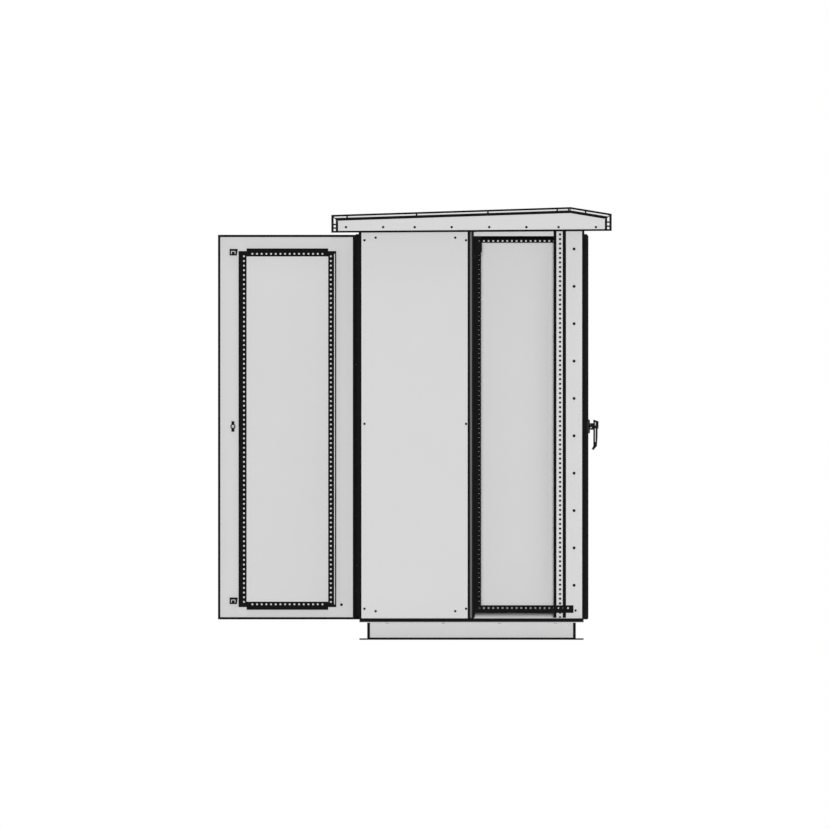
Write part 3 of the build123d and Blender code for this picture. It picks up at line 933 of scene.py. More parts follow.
@dataclass
class SidePanels:
    """Fixing screws and edge gaskets of the three side panels."""

    corner_inset: float = 0.016
    centre_inset: float = 0.008
    upper_drop: float = 0.058
    upper_drop_inner: float = 0.044
    lower_rise: float = 0.051
    lower_rise_inner: float = 0.038
    inner_inset_corner: float = 0.076
    inner_inset_centre: float = 0.066
    gasket_recess: float = 0.0012
    gasket_depth: float = 0.012
    gasket_edge: float = 0.0004

    def build(self) -> None:
        """Makes the screws and gaskets of each panel."""
        for node, side in (("near_panel_front", NEAR), ("far_panel_front", FAR), ("far_panel_rear", FAR)):
            self._screws(node, side)
            self._gaskets(node, side)

    def _screws(self, node: str, side: int) -> None:
        """Makes one panel's ten screws.

        Args:
            node: the panel's CAD node.
            side: the near or far side.
        """
        low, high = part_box(node)
        face = low.y if side == NEAR else high.y
        outer_first = abs(low.x) > abs(high.x)
        corner_x, centre_x = (low.x, high.x) if outer_first else (high.x, low.x)
        inwards = 1.0 if outer_first else -1.0
        outer = corner_x + inwards * self.corner_inset
        inner = centre_x - inwards * self.centre_inset
        second_outer = corner_x + inwards * self.inner_inset_corner
        second_inner = centre_x - inwards * self.inner_inset_centre
        middle = (low.z + high.z) / 2
        places = [(x, z) for x in (outer, inner)
                  for z in (low.z + self.lower_rise, middle, high.z - self.upper_drop)]
        places += [(x, z) for x in (second_outer, second_inner)
                   for z in (low.z + self.lower_rise_inner, high.z - self.upper_drop_inner)]
        mesh = PieceMesh()
        for x, z in places:
            mesh.head((x, face, z), (0.0, side, 0.0), PAN_HEAD)
        mesh.piece(f"{node}_screws", "enclosure", Finishes.black_fastener)

    def _gaskets(self, node: str, side: int) -> None:
        """Makes the strips that fill the gaps beside one panel.

        Args:
            node: the panel's CAD node.
            side: the near or far side.
        """
        low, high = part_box(node)
        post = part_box("centre_posts")
        if low.x < post[0].x:
            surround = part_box("front_door_surround")
            gaps = ((surround[1].x, low.x), (high.x, post[0].x))
        else:
            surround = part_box("rear_door_surround")
            gaps = ((post[1].x, low.x), (high.x, surround[0].x))
        outer = (low.y + self.gasket_recess) if side == NEAR else (high.y - self.gasket_recess)
        inner = outer - side * self.gasket_depth
        mesh = PieceMesh()
        for start, end in gaps:
            mesh.bar((start, inner, low.z), (end, outer, high.z), self.gasket_edge)
        mesh.piece(f"{node}_gaskets", "enclosure", Finishes.black_rubber)


@dataclass
class InnerFrame:
    """Fasteners of the posts, rails and uprights in the open bay, and the centre posts' insert strips."""

    strip_screw_x: float = 0.549
    strip_screw_low: float = 0.292
    strip_screw_pitch: float = 0.200
    strip_screw_count: int = 10
    rail_screw_x: float = 0.557
    rail_screw_level: float = 0.157
    rail_end_inset: float = 0.012
    rail_end_rise: float = 0.010
    insert_width: float = 0.0106
    insert_proud: float = 0.0014
    insert_sunk: float = 0.0006
    insert_shift: float = -0.0007
    insert_end_gap: float = 0.002
    insert_edge: float = 0.0006
    cover_inset: float = 0.005
    cover_thickness: float = 0.0015
    cover_edge: float = 0.001
    cover_screw_rise: float = 0.014

    def build(self) -> None:
        """Makes every piece of the inner frame."""
        self._strip_screws()
        self._rail_screws()
        self._inserts()
        self._bracket_cover()

    def _strip_screws(self) -> None:
        """Makes the row of screws on the corner post beside the open bay."""
        face = -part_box("top_bars")[1].y
        mesh = PieceMesh()
        for index in range(self.strip_screw_count):
            level = self.strip_screw_low + index * self.strip_screw_pitch
            mesh.head((self.strip_screw_x, face, level), (0.0, NEAR, 0.0), STRIP_HEAD)
        mesh.piece("corner_post_screws", "enclosure", Finishes.black_fastener)

    def _rail_screws(self) -> None:
        """Makes the screws past each bottom rail's ends, and the small ones in its ends."""
        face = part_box("top_bars")[1].y
        mesh = PieceMesh()
        for end in (-1, 1):
            for side in (NEAR, FAR):
                centre = (end * self.rail_screw_x, side * face, self.rail_screw_level)
                mesh.head(centre, (0.0, side, 0.0), PAN_HEAD)
        low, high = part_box("bottom_rails")
        level = low.z + self.rail_end_rise
        for x in (low.x + self.rail_end_inset, high.x - self.rail_end_inset):
            for side in (NEAR, FAR):
                mesh.head((x, side * high.y, level), (0.0, side, 0.0), SMALL_HEAD)
        mesh.piece("rail_screws", "enclosure", Finishes.black_fastener)

    def _inserts(self) -> None:
        """Makes the grey strip that snaps into each centre post's groove."""
        low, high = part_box("centre_posts")
        middle = (low.x + high.x) / 2 + self.insert_shift
        half = self.insert_width / 2
        foot, top = low.z + self.insert_end_gap, high.z - self.insert_end_gap
        mesh = PieceMesh()
        for side in (NEAR, FAR):
            face = side * high.y
            inner, outer = face - side * self.insert_sunk, face + side * self.insert_proud
            mesh.bar((middle - half, inner, foot), (middle + half, outer, top), self.insert_edge)
        mesh.piece("centre_post_inserts", "enclosure", Finishes.grey_insert)

    def _bracket_cover(self) -> None:
        """Makes the pressed cover and two screws on the bracket by the centre post."""
        low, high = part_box("upper_bracket")
        inset = self.cover_inset
        face = low.y - self.cover_thickness
        mesh = PieceMesh()
        mesh.bar((low.x + inset, face, low.z + inset), (high.x - inset, low.y, high.z - inset),
                 self.cover_edge)
        middle = (low.x + high.x) / 2
        for level in (low.z + self.cover_screw_rise, high.z - self.cover_screw_rise):
            mesh.head((middle, face, level), (0.0, NEAR, 0.0), SMALL_HEAD)
        mesh.piece("bracket_cover", "enclosure", Finishes.black_fastener)


@dataclass(frozen=True)
class RimTrim:
    """How far the strips reach over the bevel from its edges, as shares of it, and over the fascia's face."""

    outer: float
    inner: float
    leg: float


@dataclass
class Canopy:
    """Edge trims, clips and screws of the roof."""

    front_drop: float = 0.018
    rear_drop: float = 0.008
    front_rise: float = 0.074
    ridge_rise: float = 0.116
    rear_rise: float = 0.080
    ridge_x: float = 0.530
    bevel: float = 0.025
    drip_below: float = 0.0030
    drip_above: float = 0.0068
    drip_thickness: float = 0.004
    drip_cover: float = 0.0004
    drip_edge: float = 0.0002
    end_trim: RimTrim = RimTrim(outer=0.47, inner=0.04, leg=0.0110)
    top_trim: RimTrim = RimTrim(outer=0.38, inner=0.32, leg=0.0068)
    roof_leg: float = 0.012
    trim_thickness: float = 0.0005
    clip_width: float = 0.0085
    clip_thickness: float = 0.0008
    clip_sunk: float = 0.0004
    clip_end: float = 0.0026
    clip_edge: float = 0.0003
    seam_width: float = 0.0042
    clip_places: tuple[float, ...] = (-0.666, -0.294, 0.088, 0.459, 0.521, 0.611)
    front_clip_levels: tuple[float, ...] = (2.204, 2.223)
    rear_clip_levels: tuple[float, ...] = (2.214, 2.236)
    screw_level: float = 2.209
    screw_places: tuple[float, ...] = (-0.672, -0.473, -0.304, -0.106, 0.095, 0.294, 0.466, 0.666)
    end_screw_places: tuple[float, ...] = (-0.320, -0.107, 0.107, 0.320)
    ridge_seal_start: float = 0.0005
    ridge_seal_end: float = 0.008

    def __post_init__(self) -> None:
        """Reads the roof's reach and the ceiling's level from the frame."""
        self.half_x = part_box("roof_end_fascias")[1].x
        self.half_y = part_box("roof_side_fascias")[1].y
        self.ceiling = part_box("ceiling_plate")[1].z

    def build(self) -> None:
        """Makes every piece of the roof."""
        self._drip_trim()
        self._rim_trims()
        self._clips()
        self._screws()
        self._ridge_seal()

    def _rim(self, inset: float) -> list[Vector]:
        """The roof's outline seen from the side.

        Args:
            inset: how far it is drawn in.

        Returns:
            Its points from the front foot over the ridge to the rear foot, with Y zero.
        """
        corners = [
            Vector((-self.half_x, self.ceiling - self.front_drop)),
            Vector((-self.half_x, self.ceiling + self.front_rise)),
            Vector((self.ridge_x, self.ceiling + self.ridge_rise)),
            Vector((self.half_x, self.ceiling + self.rear_rise)),
            Vector((self.half_x, self.ceiling - self.rear_drop)),
        ]
        ways = [(second - first).normalized() for first, second in zip(corners, corners[1:])]
        inward = [Vector((way.y, -way.x)) for way in ways]
        moves = [inward[0], *[(a + b) / (1 + a.dot(b)) for a, b in zip(inward, inward[1:])], inward[-1]]
        return [Vector((corner.x + move.x * inset, 0.0, corner.y + move.y * inset))
                for corner, move in zip(corners, moves)]

    def _line(self, side: int, inset: float, level: float) -> list[Vector]:
        """The rim drawn in by inset, on one side at this distance from the middle."""
        return [Vector((point.x, side * level, point.z)) for point in self._rim(inset)]

    def _bevel_line(self, side: int, share: float) -> list[Vector]:
        """A line along the bevel on one side, from its top edge (0) to its lower edge (1)."""
        return self._line(side, self.bevel * share, self.half_y - self.bevel * (1.0 - share))

    def _plan(self, inset: float, level: float) -> list[tuple[float, float, float]]:
        """The roof's outline in plan, with its cut corners.

        Args:
            inset: how far it is drawn in.
            level: the height that it lies at.

        Returns:
            Its corners in order.
        """
        half_x, half_y = self.half_x - inset, self.half_y - inset
        cut = self.bevel - inset * (2 - math.sqrt(2))
        quarter = [(half_x, half_y - cut), (half_x - cut, half_y)]
        half = quarter + [(-x, y) for x, y in reversed(quarter)]
        return [(x, y, level) for x, y in half + [(-x, -y) for x, y in half]]

    def _drip_trim(self) -> None:
        """Makes the rubber channel over the lower edge of the fascias, which rises slightly to the rear."""
        rise = (self.front_drop - self.rear_drop) / (2 * self.half_x)
        middle = self.ceiling - (self.front_drop + self.rear_drop) / 2
        edge_line = Matrix(((1, 0, 0, 0), (0, 1, 0, 0), (rise, 0, 1, middle), (0, 0, 0, 1)))
        mesh = PieceMesh()
        mesh.wall(self._plan(-self.drip_cover, -self.drip_below), self.drip_below + self.drip_above,
                  self.drip_thickness, self.drip_edge)
        bmesh.ops.transform(mesh.mesh, matrix=edge_line, verts=list(mesh.mesh.verts))
        mesh.piece("roof_drip_trim", "enclosure", Finishes.black_rubber)

    def _rim_trims(self) -> None:
        """Makes the sealing strips that fold over both edges of the bevel."""
        mesh = PieceMesh()
        thick = self.trim_thickness
        runs = (
            (0, FORE, self.end_trim),
            (1, UP, self.top_trim),
            (2, UP, self.top_trim),
            (3, AFT, self.end_trim),
        )
        for side in (NEAR, FAR):
            out = Vector((0.0, side, 0.0))
            for first, away, trim in runs:
                top, outer, back, inner, foot, face = (line[first:first + 2] for line in (
                    self._bevel_line(side, 0.0), self._bevel_line(side, trim.outer),
                    self._line(side, 0.0, self.half_y - self.bevel - self.roof_leg),
                    self._bevel_line(side, 1.0 - trim.inner), self._bevel_line(side, 1.0),
                    self._line(side, self.bevel + trim.leg, self.half_y),
                ))
                mesh.ribbon(top, outer, away + out, thick)
                mesh.ribbon(top, back, away, thick)
                mesh.ribbon(inner, foot, away + out, thick)
                mesh.ribbon(foot, face, out, thick)
        mesh.piece("roof_rim_trims", "enclosure", Finishes.black_rubber)

    def _clips(self) -> None:
        """Makes the small bars across the bevel, and the seams at its corners."""
        mesh = PieceMesh()
        for side in (NEAR, FAR):
            top, foot = self._bevel_line(side, 0.0), self._bevel_line(side, 1.0)
            for x in self.clip_places:
                self._clip(mesh, self._at_x(top, x), self._at_x(foot, x), side, UP, self.clip_width)
            for lean, levels in ((FORE, self.front_clip_levels), (AFT, self.rear_clip_levels)):
                for level in levels:
                    outer = Vector((lean.x * self.half_x, side * (self.half_y - self.bevel), level))
                    inner = Vector((lean.x * (self.half_x - self.bevel), side * self.half_y, level))
                    self._clip(mesh, outer, inner, side, lean, self.clip_width)
            for corner, lean in ((1, FORE + UP), (2, UP), (3, AFT + UP)):
                self._clip(mesh, top[corner], foot[corner], side, lean, self.seam_width)
        mesh.piece("roof_rim_clips", "enclosure", Finishes.black_fastener)

    def _at_x(self, line: Sequence[Vector], x: float) -> Vector:
        """The point over x on the part of a line that runs over the roof.

        Args:
            line: the points of the line, with the fascias' ends.
            x: the place along the roof.

        Returns:
            The point.
        """
        for first, second in zip(line[1:-1], line[2:-1]):
            if first.x <= x <= second.x:
                return first.lerp(second, (x - first.x) / (second.x - first.x))
        raise ValueError(f"no point of the rim lies over {x}")

    def _clip(self, mesh: PieceMesh, top: Vector, foot: Vector, side: int, lean: Vector,
              width: float) -> None:
        """Adds one bar from the bevel's top edge to its foot.

        Args:
            mesh: the mesh in hand.
            top: the point on the top edge.
            foot: the point on the lower edge.
            side: the near or far side.
            lean: the way that the bevel leans, apart from sideways.
            width: how wide the bar is.
        """
        run = (foot - top).normalized()
        across = (Vector((0.0, side, 0.0)) + lean).cross(run).normalized()
        normal = run.cross(across).normalized()
        place = Matrix.Translation(top) @ Matrix((across, run, normal)).transposed().to_4x4()
        end = (foot - top).length - self.clip_end
        mesh.bar((-width / 2, self.clip_end, -self.clip_sunk), (width / 2, end, self.clip_thickness),
                 self.clip_edge, place)

    def _screws(self) -> None:
        """Makes the row of flush screws round the fascias."""
        mesh = PieceMesh()
        for side in (NEAR, FAR):
            for x in self.screw_places:
                mesh.head((x, side * self.half_y, self.screw_level), (0.0, side, 0.0), FLUSH_HEAD)
        for end in (-1, 1):
            for y in self.end_screw_places:
                mesh.head((end * self.half_x, y, self.screw_level), (end, 0.0, 0.0), FLUSH_HEAD)
        mesh.piece("roof_fascia_screws", "enclosure", Finishes.black_fastener)

    def _ridge_seal(self) -> None:
        """Makes the sealing strip across the roof just below the ridge."""
        mesh = PieceMesh()
        reach = self.half_y - self.bevel - self.roof_leg
        slope = (self.ridge_rise - self.front_rise) / (self.ridge_x + self.half_x)
        ridge = self.ceiling + self.ridge_rise
        near_ridge, far_ridge = [
            [Vector((self.ridge_x - back, y, ridge - slope * back)) for y in (-reach, reach)]
            for back in (self.ridge_seal_start, self.ridge_seal_end)
        ]
        mesh.ribbon(near_ridge, far_ridge, UP, self.trim_thickness)
        mesh.piece("roof_ridge_seal", "enclosure", Finishes.black_rubber)


@dataclass
class Plinth:
    """Corner angles and bolts of the plinth and base frame."""

    corner_width: float = 0.0115
    corner_thickness: float = 0.0033
    web_recess: float = 0.045
    flange: float = 0.008
    edge: float = 0.0005
    bolt_places: tuple[float, ...] = (-0.45, -0.15, 0.15, 0.45)
    bolt_inset: float = 0.022

    def build(self) -> None:
        """Makes the pieces of the plinth."""
        self._corners()
        self._bolts()

    def _corners(self) -> None:
        """Makes an angle over each upright corner of the plinth's webs."""
        low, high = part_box("plinth_sides")
        foot, top = low.z + self.flange, high.z - self.flange
        web_x, web_y = high.x - self.web_recess, high.y - self.web_recess
        mesh = PieceMesh()
        for end in (-1, 1):
            for side in (NEAR, FAR):
                outer_x = end * (web_x + self.corner_thickness)
                outer_y = side * (web_y + self.corner_thickness)
                inner_x = end * (web_x - self.corner_width)
                inner_y = side * (web_y - self.corner_width)
                mesh.bar((inner_x, side * web_y, foot), (outer_x, outer_y, top), self.edge)
                mesh.bar((end * web_x, inner_y, foot), (outer_x, side * web_y, top), self.edge)
        mesh.piece("plinth_corner_angles", "enclosure", Finishes.black_steel)

    def _bolts(self) -> None:
        """Makes the bolts that hold the body down on the plinth's upper flange, from below."""
        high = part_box("plinth_sides")[1]
        level = high.z - self.flange
        mesh = PieceMesh()
        for side in (NEAR, FAR):
            for x in self.bolt_places:
                mesh.head((x, side * (high.y - self.bolt_inset), level), (0.0, 0.0, -1.0), BOLT_HEAD)
        mesh.piece("plinth_bolts", "enclosure", Finishes.zinc)


@dataclass
class Door:
    """Small pieces of one door: seals, bows, nuts, inlays and screws, placed from the hinge axis.

    Across runs from the hinge to the free edge, up is Z, and outward is the door's outer side.
    """

    end: DoorEnd
    back: float = 0.010
    outer: float = 0.012
    handle_across: float = 0.663
    handle_level: float = 1.142
    catch_across: float = 0.659
    catch_taper: float = 0.005
    bow_reach: float = 0.0117
    bow_width: float = 0.0040
    bow_low: float = -0.0100
    bow_high: float = 0.0062
    bow_face: float = -0.0070
    bow_thickness: float = 0.0008
    bow_edge: float = 0.0001
    catch_levels: tuple[float, ...] = (0.209, 2.075)
    stud_across: float = 0.082
    stud_level: float = 0.188
    skin_start: float = 0.017
    skin_end: float = 0.735
    skin_low: float = 0.117
    skin_high: float = 2.160
    leaf_face: float = 0.377
    leaf_screw_x: float = 0.5985
    leaf_screw_margin: float = 0.05
    leaf_screw_count: int = 11
    gasket_width: float = 0.009
    gasket_proud: float = 0.0045
    gasket_inset: float = 0.0006
    gasket_end_gap: float = 0.001
    gasket_edge: float = 0.001
    foam_width: float = 0.0042
    foam_depth: float = 0.004
    foam_edge: float = 0.0008
    rosette_height: float = 0.075
    rosette_width: float = 0.034
    rosette_thickness: float = 0.008
    rosette_slope: float = 0.006
    rosette_slope_steps: int = 3
    rosette_sides: int = 32
    lever_half_width: float = 0.015
    inlay_runs: tuple[tuple[float, float], ...] = ((0.0055, 0.0230), (-0.0826, -0.0106))
    inlay_start: float = 0.0467
    inlay_width: float = 0.0043
    inlay_sunk: float = 0.001
    inlay_proud: float = 0.0005
    inlay_edge: float = 0.0004
    grub_across: float = 0.0165
    grub_drop: float = 0.0066
    grub_out: float = 0.0254
    nut_out: float = 0.002
    spindle_out: float = -0.0025
    strip_start: float = 0.0030
    strip_end: float = 0.00905
    strip_out: tuple[float, float] = (-0.0076, -0.0065)
    strip_edge: float = 0.0002
    door_low: float = 0.109
    door_high: float = 2.168
    cap_radius: float = 0.006
    cap_plate: float = 0.0024
    cap_gap: float = 0.0004
    cap_edge: float = 0.0003
    cap_high: float = 2.172
    cap_round: float = 0.0035
    seam_across: tuple[float, float] = (0.1168, 0.1212)
    seam_high: float = 2.066
    seam_low: float = 0.190
    seam_thickness: float = 0.0005
    seam_edge: float = 0.0001
    frame_face: float = -0.015

    def __post_init__(self) -> None:
        """Reads the hinge axis from the frame."""
        name = f"{self.end.value}_door_swing"
        joint = next(joint for joint in frame["joints"] if joint["name"] == name)
        across, outward = {
            DoorEnd.FRONT: (Vector((-1.0, 0.0, 0.0)), Vector((0.0, 1.0, 0.0))),
            DoorEnd.REAR: (Vector((0.0, 1.0, 0.0)), Vector((1.0, 0.0, 0.0))),
        }[self.end]
        origin = Vector((joint["pos_m"][0], joint["pos_m"][1], 0.0))
        turn = Matrix((across, Vector((0.0, 0.0, 1.0)), outward)).transposed().to_4x4()
        self.place = Matrix.Translation(origin) @ turn
        self.door_body = f"{self.end.value}_door"
        self.handle_body = f"{self.end.value}_handle"

    def build(self) -> None:
        """Makes every small piece of the door."""
        self._surround_gaskets()
        self._foam_gasket()
        self._hinge_screws()
        self._catch_bows()
        self._hinge_strip()
        self._hinge_caps()
        self._upright_seam()
        self._lock_nut()
        self._earth_stud()
        self._rosette()
        self._lever_inlays()

    def at(self, across: float, up: float, outward: float) -> Vector:
        """The point of the row frame at these door coordinates."""
        return self.place @ Vector((across, up, outward))

    def way(self, across: float, up: float, outward: float) -> Vector:
        """The direction in the row frame of this door direction."""
        return self.place.to_3x3() @ Vector((across, up, outward))

    def _surround_gaskets(self) -> None:
        """Makes the two upright gaskets between the surround and the closed door's edge."""
        low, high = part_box(f"{self.end.value}_door_surround")
        outward = -1 if self.end is DoorEnd.FRONT else 1
        face = low.x if outward < 0 else high.x
        foot, top = low.z + self.gasket_end_gap, high.z - self.gasket_end_gap
        mesh = PieceMesh()
        for side in (NEAR, FAR):
            outer = side * (high.y - self.gasket_inset)
            mesh.bar((face, outer - side * self.gasket_width, foot),
                     (face + outward * self.gasket_proud, outer, top), self.gasket_edge)
        name = f"{self.end.value}_surround_gaskets"
        mesh.piece(name, "enclosure", Finishes.black_rubber)

    def _foam_gasket(self) -> None:
        """Makes the poured gasket round the inside of the door, beside its edge profile."""
        mesh = PieceMesh()
        start, end, low, high = self.skin_start, self.skin_end, self.skin_low, self.skin_high
        outline = ((start, low), (end, low), (end, high), (start, high))
        foot = [(across, up, self.back) for across, up in outline]
        mesh.wall(foot, -self.foam_depth, self.foam_width, self.foam_edge)
        bmesh.ops.transform(mesh.mesh, matrix=self.place, verts=list(mesh.mesh.verts))
        mesh.piece(f"{self.end.value}_foam_gasket", self.door_body, Finishes.black_rubber)

    def _hinge_screws(self) -> None:
        """Makes the screws through the hinge's leaf on the body."""
        low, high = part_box(f"{self.end.value}_hinge_body_leaf")
        side = FAR if self.end is DoorEnd.FRONT else NEAR
        outwards = -1 if self.end is DoorEnd.FRONT else 1
        mesh = PieceMesh()
        for index in range(self.leaf_screw_count):
            share = index / (self.leaf_screw_count - 1)
            level = low.z + self.leaf_screw_margin + share * (high.z - low.z - 2 * self.leaf_screw_margin)
            centre = (outwards * self.leaf_screw_x, side * self.leaf_face, level)
            mesh.head(centre, (0.0, side, 0.0), SMALL_HEAD)
        mesh.piece(f"{self.end.value}_hinge_screws", "enclosure", Finishes.black_fastener)

    def _catch_bows(self) -> None:
        """Makes the bright bow round the roller in each rod catch."""
        middle = self.catch_across + self.catch_taper / 2
        face, back = self.bow_face, self.bow_face - self.bow_thickness
        mesh = PieceMesh()
        for level in self.catch_levels:
            low, high = level + self.bow_low, level + self.bow_high
            shoulder = high - self.bow_width
            for side in (-1, 1):
                mesh.bar((middle + side * (self.bow_reach - self.bow_width), low, back),
                         (middle + side * self.bow_reach, shoulder, face), self.bow_edge, self.place)
            mesh.bar((middle - self.bow_reach, shoulder, back), (middle + self.bow_reach, high, face),
                     self.bow_edge, self.place)
        mesh.piece(f"{self.end.value}_catch_bows", self.door_body, Finishes.zinc)

    def _hinge_strip(self) -> None:
        """Makes the strip on the door's edge that closes the slit beside the hinge's barrels."""
        mesh = PieceMesh()
        mesh.bar((self.strip_start, self.door_low, self.strip_out[0]),
                 (self.strip_end, self.door_high, self.strip_out[1]), self.strip_edge, self.place)
        name = f"{self.end.value}_hinge_strip"
        mesh.piece(name, self.door_body, Finishes.black_rubber)

    def _hinge_caps(self) -> None:
        """Makes the caps on the body that carry the hinge on to the door's top and foot."""
        low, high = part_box(f"{self.end.value}_hinge_body_leaf")
        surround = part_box(f"{self.end.value}_door_surround")
        axis = self.at(0.0, 0.0, 0.0)
        wall = surround[0].x if axis.x < 0 else surround[1].x
        inner_y = axis.y - math.copysign(self.cap_plate, axis.y)
        outer_y = axis.y + math.copysign(self.cap_gap, axis.y)
        mesh = PieceMesh()
        for way, start, end in ((-1, low.z - self.cap_gap, self.door_low),
                                (1, high.z + self.cap_gap, self.cap_high)):
            barrel = Stud(self.cap_radius, abs(end - start), self.cap_round)
            mesh.stud((axis.x, axis.y, start), (0.0, 0.0, way), barrel)
            mesh.bar((axis.x, inner_y, start), (wall, outer_y, end - way * self.cap_gap), self.cap_edge)
        mesh.piece(f"{self.end.value}_hinge_caps", "enclosure", Finishes.black_moulding)

    def _upright_seam(self) -> None:
        """Makes the pale edge strip down the hinge side's mounting upright."""
        mesh = PieceMesh()
        mesh.bar((self.seam_across[0], self.seam_low, self.frame_face - self.seam_thickness),
                 (self.seam_across[1], self.seam_high, self.frame_face), self.seam_edge, self.place)
        name = f"{self.end.value}_upright_seam"
        mesh.piece(name, self.door_body, Finishes.panel_coat)

    def _lock_nut(self) -> None:
        """Makes the bright nut that holds the lock cam on its spindle."""
        mesh = PieceMesh()
        inward = self.way(0.0, 0.0, -1.0)
        for out, stud in ((self.nut_out, LOCK_NUT), (self.spindle_out, SPINDLE_END)):
            mesh.stud(self.at(self.handle_across, self.handle_level, out), inward, stud)
        mesh.piece(f"{self.end.value}_lock_nut", self.handle_body, Finishes.zinc)

    def _earth_stud(self) -> None:
        """Makes the earth stud, washer and nut near the door's lower hinge corner."""
        mesh = PieceMesh()
        centre = self.at(self.stud_across, self.stud_level, self.back)
        inward = self.way(0.0, 0.0, -1.0)
        for stud in EARTH_STUD:
            mesh.stud(centre, inward, stud)
        mesh.piece(f"{self.end.value}_earth_stud", self.door_body, Finishes.black_fastener)

    def _rosette(self) -> None:
        """Makes the handle's back plate with sloping sides, in place of the plain CAD plate."""
        mesh = PieceMesh()
        radius = self.rosette_width / 2
        made = bmesh.ops.create_circle(mesh.mesh, cap_ends=True, segments=self.rosette_sides, radius=radius)
        stretch = self.rosette_height / 2 - radius
        for way in (-1, 1):
            half = [vert for vert in made["verts"] if vert.co.y * way > ROUNDING]
            bmesh.ops.translate(mesh.mesh, verts=half, vec=(0.0, way * stretch, 0.0))
        raised = bmesh.ops.extrude_face_region(mesh.mesh, geom=list(mesh.mesh.faces))["geom"]
        top = [item for item in raised if isinstance(item, bmesh.types.BMVert)]
        bmesh.ops.translate(mesh.mesh, verts=top, vec=(0.0, 0.0, self.rosette_thickness))
        upper = {line for vert in top for line in vert.link_edges if all(end in top for end in line.verts)}
        mesh.round_off(upper, self.rosette_slope, self.rosette_slope_steps)
        middle = self.place @ Matrix.Translation((self.handle_across, self.handle_level, self.outer))
        bmesh.ops.transform(mesh.mesh, matrix=middle, verts=list(mesh.mesh.verts))
        name = f"{self.end.value}_rosette_plate"
        plate = mesh.piece(name, self.door_body, Finishes.black_moulding)
        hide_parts(f"{self.end.value}_door_rosette")

    def _lever_inlays(self) -> None:
        """Makes the pale strips let into both sides of the lever, and the grub screw in its neck."""
        mesh = PieceMesh()
        level, start, end = self.handle_level, self.inlay_start, self.inlay_start + self.inlay_width
        for side in (-1, 1):
            face = self.handle_across + side * self.lever_half_width
            inner, outer = face - side * self.inlay_sunk, face + side * self.inlay_proud
            for low, high in self.inlay_runs:
                mesh.bar((inner, level + low, start), (outer, level + high, end), self.inlay_edge, self.place)
            across = self.handle_across + side * self.grub_across
            neck = self.at(across, level - self.grub_drop, self.grub_out)
            mesh.stud(neck, self.way(side, 0.0, 0.0), GRUB_SCREW)
        mesh.piece(f"{self.end.value}_lever_inlays", self.handle_body, Finishes.zinc)


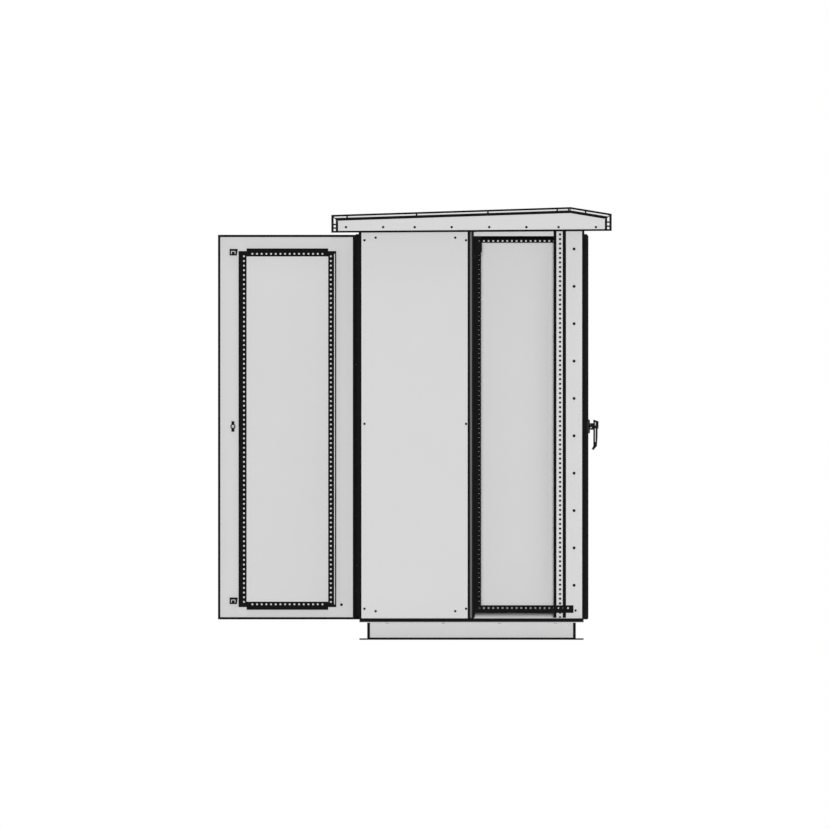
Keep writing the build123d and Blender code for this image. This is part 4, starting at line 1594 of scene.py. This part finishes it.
@dataclass
class Studio:
    """Floor, light and camera."""

    pixel_size: float = 0.005353
    image_size: int = 828
    origin_column: float = 471.5
    ground_row: float = 639.8
    camera_distance: float = 10.0
    camera_reach: float = 100.0
    floor_radius: float = 9.0
    floor_sides: int = 96
    floor_drop: float = 0.0005
    floor_colour: Colour = (0.86, 0.86, 0.86)
    floor_return: Colour = (0.28, 0.28, 0.28)
    floor_roughness: float = 0.9
    floor_specular: float = 0.1
    ambient: float = 0.20
    side_lights: tuple[tuple[str, float], ...] = (
        ("near_light", 0.0), ("rear_light", 90.0), ("far_light", 180.0), ("front_light", -90.0),
    )
    side_energy: float = 2.38
    side_elevation: float = 1.1
    side_angle: float = 2.2
    top_energy: float = 1.6
    top_elevation: float = 88.0
    top_angle: float = 35.0

    def build(self) -> None:
        """Makes the floor, lamps, world and camera."""
        self._floor()
        self._world()
        for name, azimuth in self.side_lights:
            self._sun(name, azimuth, self.side_elevation, self.side_energy, self.side_angle)
        self._sun("top_light", 0.0, self.top_elevation, self.top_energy, self.top_angle)
        self._camera()
        bpy.context.scene.view_settings.view_transform = "Standard"

    def _floor(self) -> None:
        """Makes the pale floor, which throws less light back on the housing than the camera sees."""
        mesh = bmesh.new()
        bmesh.ops.create_circle(mesh, cap_ends=True, segments=self.floor_sides, radius=self.floor_radius,
                                matrix=Matrix.Translation((0.0, 0.0, -self.floor_drop)))
        data = bpy.data.meshes.new("floor")
        mesh.to_mesh(data)
        mesh.free()
        floor = bpy.data.objects.new("floor", data)
        bpy.context.scene.collection.objects.link(floor)
        material = bpy.data.materials.new("floor_paint")
        material.use_nodes = True
        sheet = NodeSheet(material.node_tree)
        shader = material.node_tree.nodes["Principled BSDF"]
        seen = sheet.add("ShaderNodeLightPath").outputs["Is Camera Ray"]
        sheet.feed(shader.inputs["Base Color"], sheet.mix(seen, self.floor_return, self.floor_colour))
        shader.inputs["Roughness"].default_value = self.floor_roughness
        shader.inputs["Specular IOR Level"].default_value = self.floor_specular
        data.materials.append(material)

    def _world(self) -> None:
        """Makes the even light from all round, and the white that the camera and glossy surfaces see."""
        world = bpy.data.worlds.new("studio")
        bpy.context.scene.world = world
        world.use_nodes = True
        sheet = NodeSheet(world.node_tree)
        world.node_tree.nodes.clear()
        rays = sheet.add("ShaderNodeLightPath").outputs
        seen = sheet.math("MAXIMUM", rays["Is Camera Ray"], rays["Is Glossy Ray"])
        seen = sheet.math("MAXIMUM", seen, rays["Is Transmission Ray"])
        even = sheet.add("ShaderNodeBackground", {"Color": (1.0, 1.0, 1.0), "Strength": self.ambient})
        white = sheet.add("ShaderNodeBackground", {"Color": (1.0, 1.0, 1.0), "Strength": 1.0})
        mixed = sheet.add("ShaderNodeMixShader", {0: seen, 1: even.outputs[0], 2: white.outputs[0]})
        sheet.add("ShaderNodeOutputWorld", {"Surface": mixed.outputs[0]})

    def _sun(self, name: str, azimuth: float, elevation: float, energy: float, spread: float) -> None:
        """Makes one sun lamp that leaves no glare of its own on glossy surfaces.

        Args:
            name: the lamp's name.
            azimuth: 0 shines from the near side, 90 from the rear door's side.
            elevation: degrees above the horizon.
            energy: its strength.
            spread: how many degrees of sky it fills.
        """
        lamp = bpy.data.lights.new(name, "SUN")
        lamp.energy = energy
        lamp.angle = math.radians(spread)
        held = bpy.data.objects.new(name, lamp)
        turn, rise = math.radians(azimuth), math.radians(elevation)
        source = Vector((math.sin(turn) * math.cos(rise), -math.cos(turn) * math.cos(rise), math.sin(rise)))
        held.location = source * self.camera_distance
        held.visible_glossy = False
        held.rotation_mode = "QUATERNION"
        held.rotation_quaternion = (-source).to_track_quat("-Z", "Y")
        bpy.context.scene.collection.objects.link(held)

    def _camera(self) -> None:
        """Makes the camera of the drawing's own straight side view."""
        data = bpy.data.cameras.new("side_view")
        data.type = "ORTHO"
        data.ortho_scale = self.image_size * self.pixel_size
        data.clip_end = self.camera_reach
        camera = bpy.data.objects.new("side_view", data)
        middle = self.image_size / 2
        camera.location = ((middle - self.origin_column) * self.pixel_size, -self.camera_distance,
                           (self.ground_row - middle) * self.pixel_size)
        camera.rotation_euler = (math.radians(90.0), 0.0, 0.0)
        bpy.context.scene.collection.objects.link(camera)
        bpy.context.scene.camera = camera


def main() -> None:
    """Builds the looks in order."""
    logging.basicConfig(level=logging.INFO, format="%(name)s: %(message)s")
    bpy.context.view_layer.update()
    FrameDressing().build()
    SidePanels().build()
    InnerFrame().build()
    Canopy().build()
    Plinth().build()
    for end in DoorEnd:
        Door(end).build()
    Studio().build()


if __name__ == "__main__":
    main()
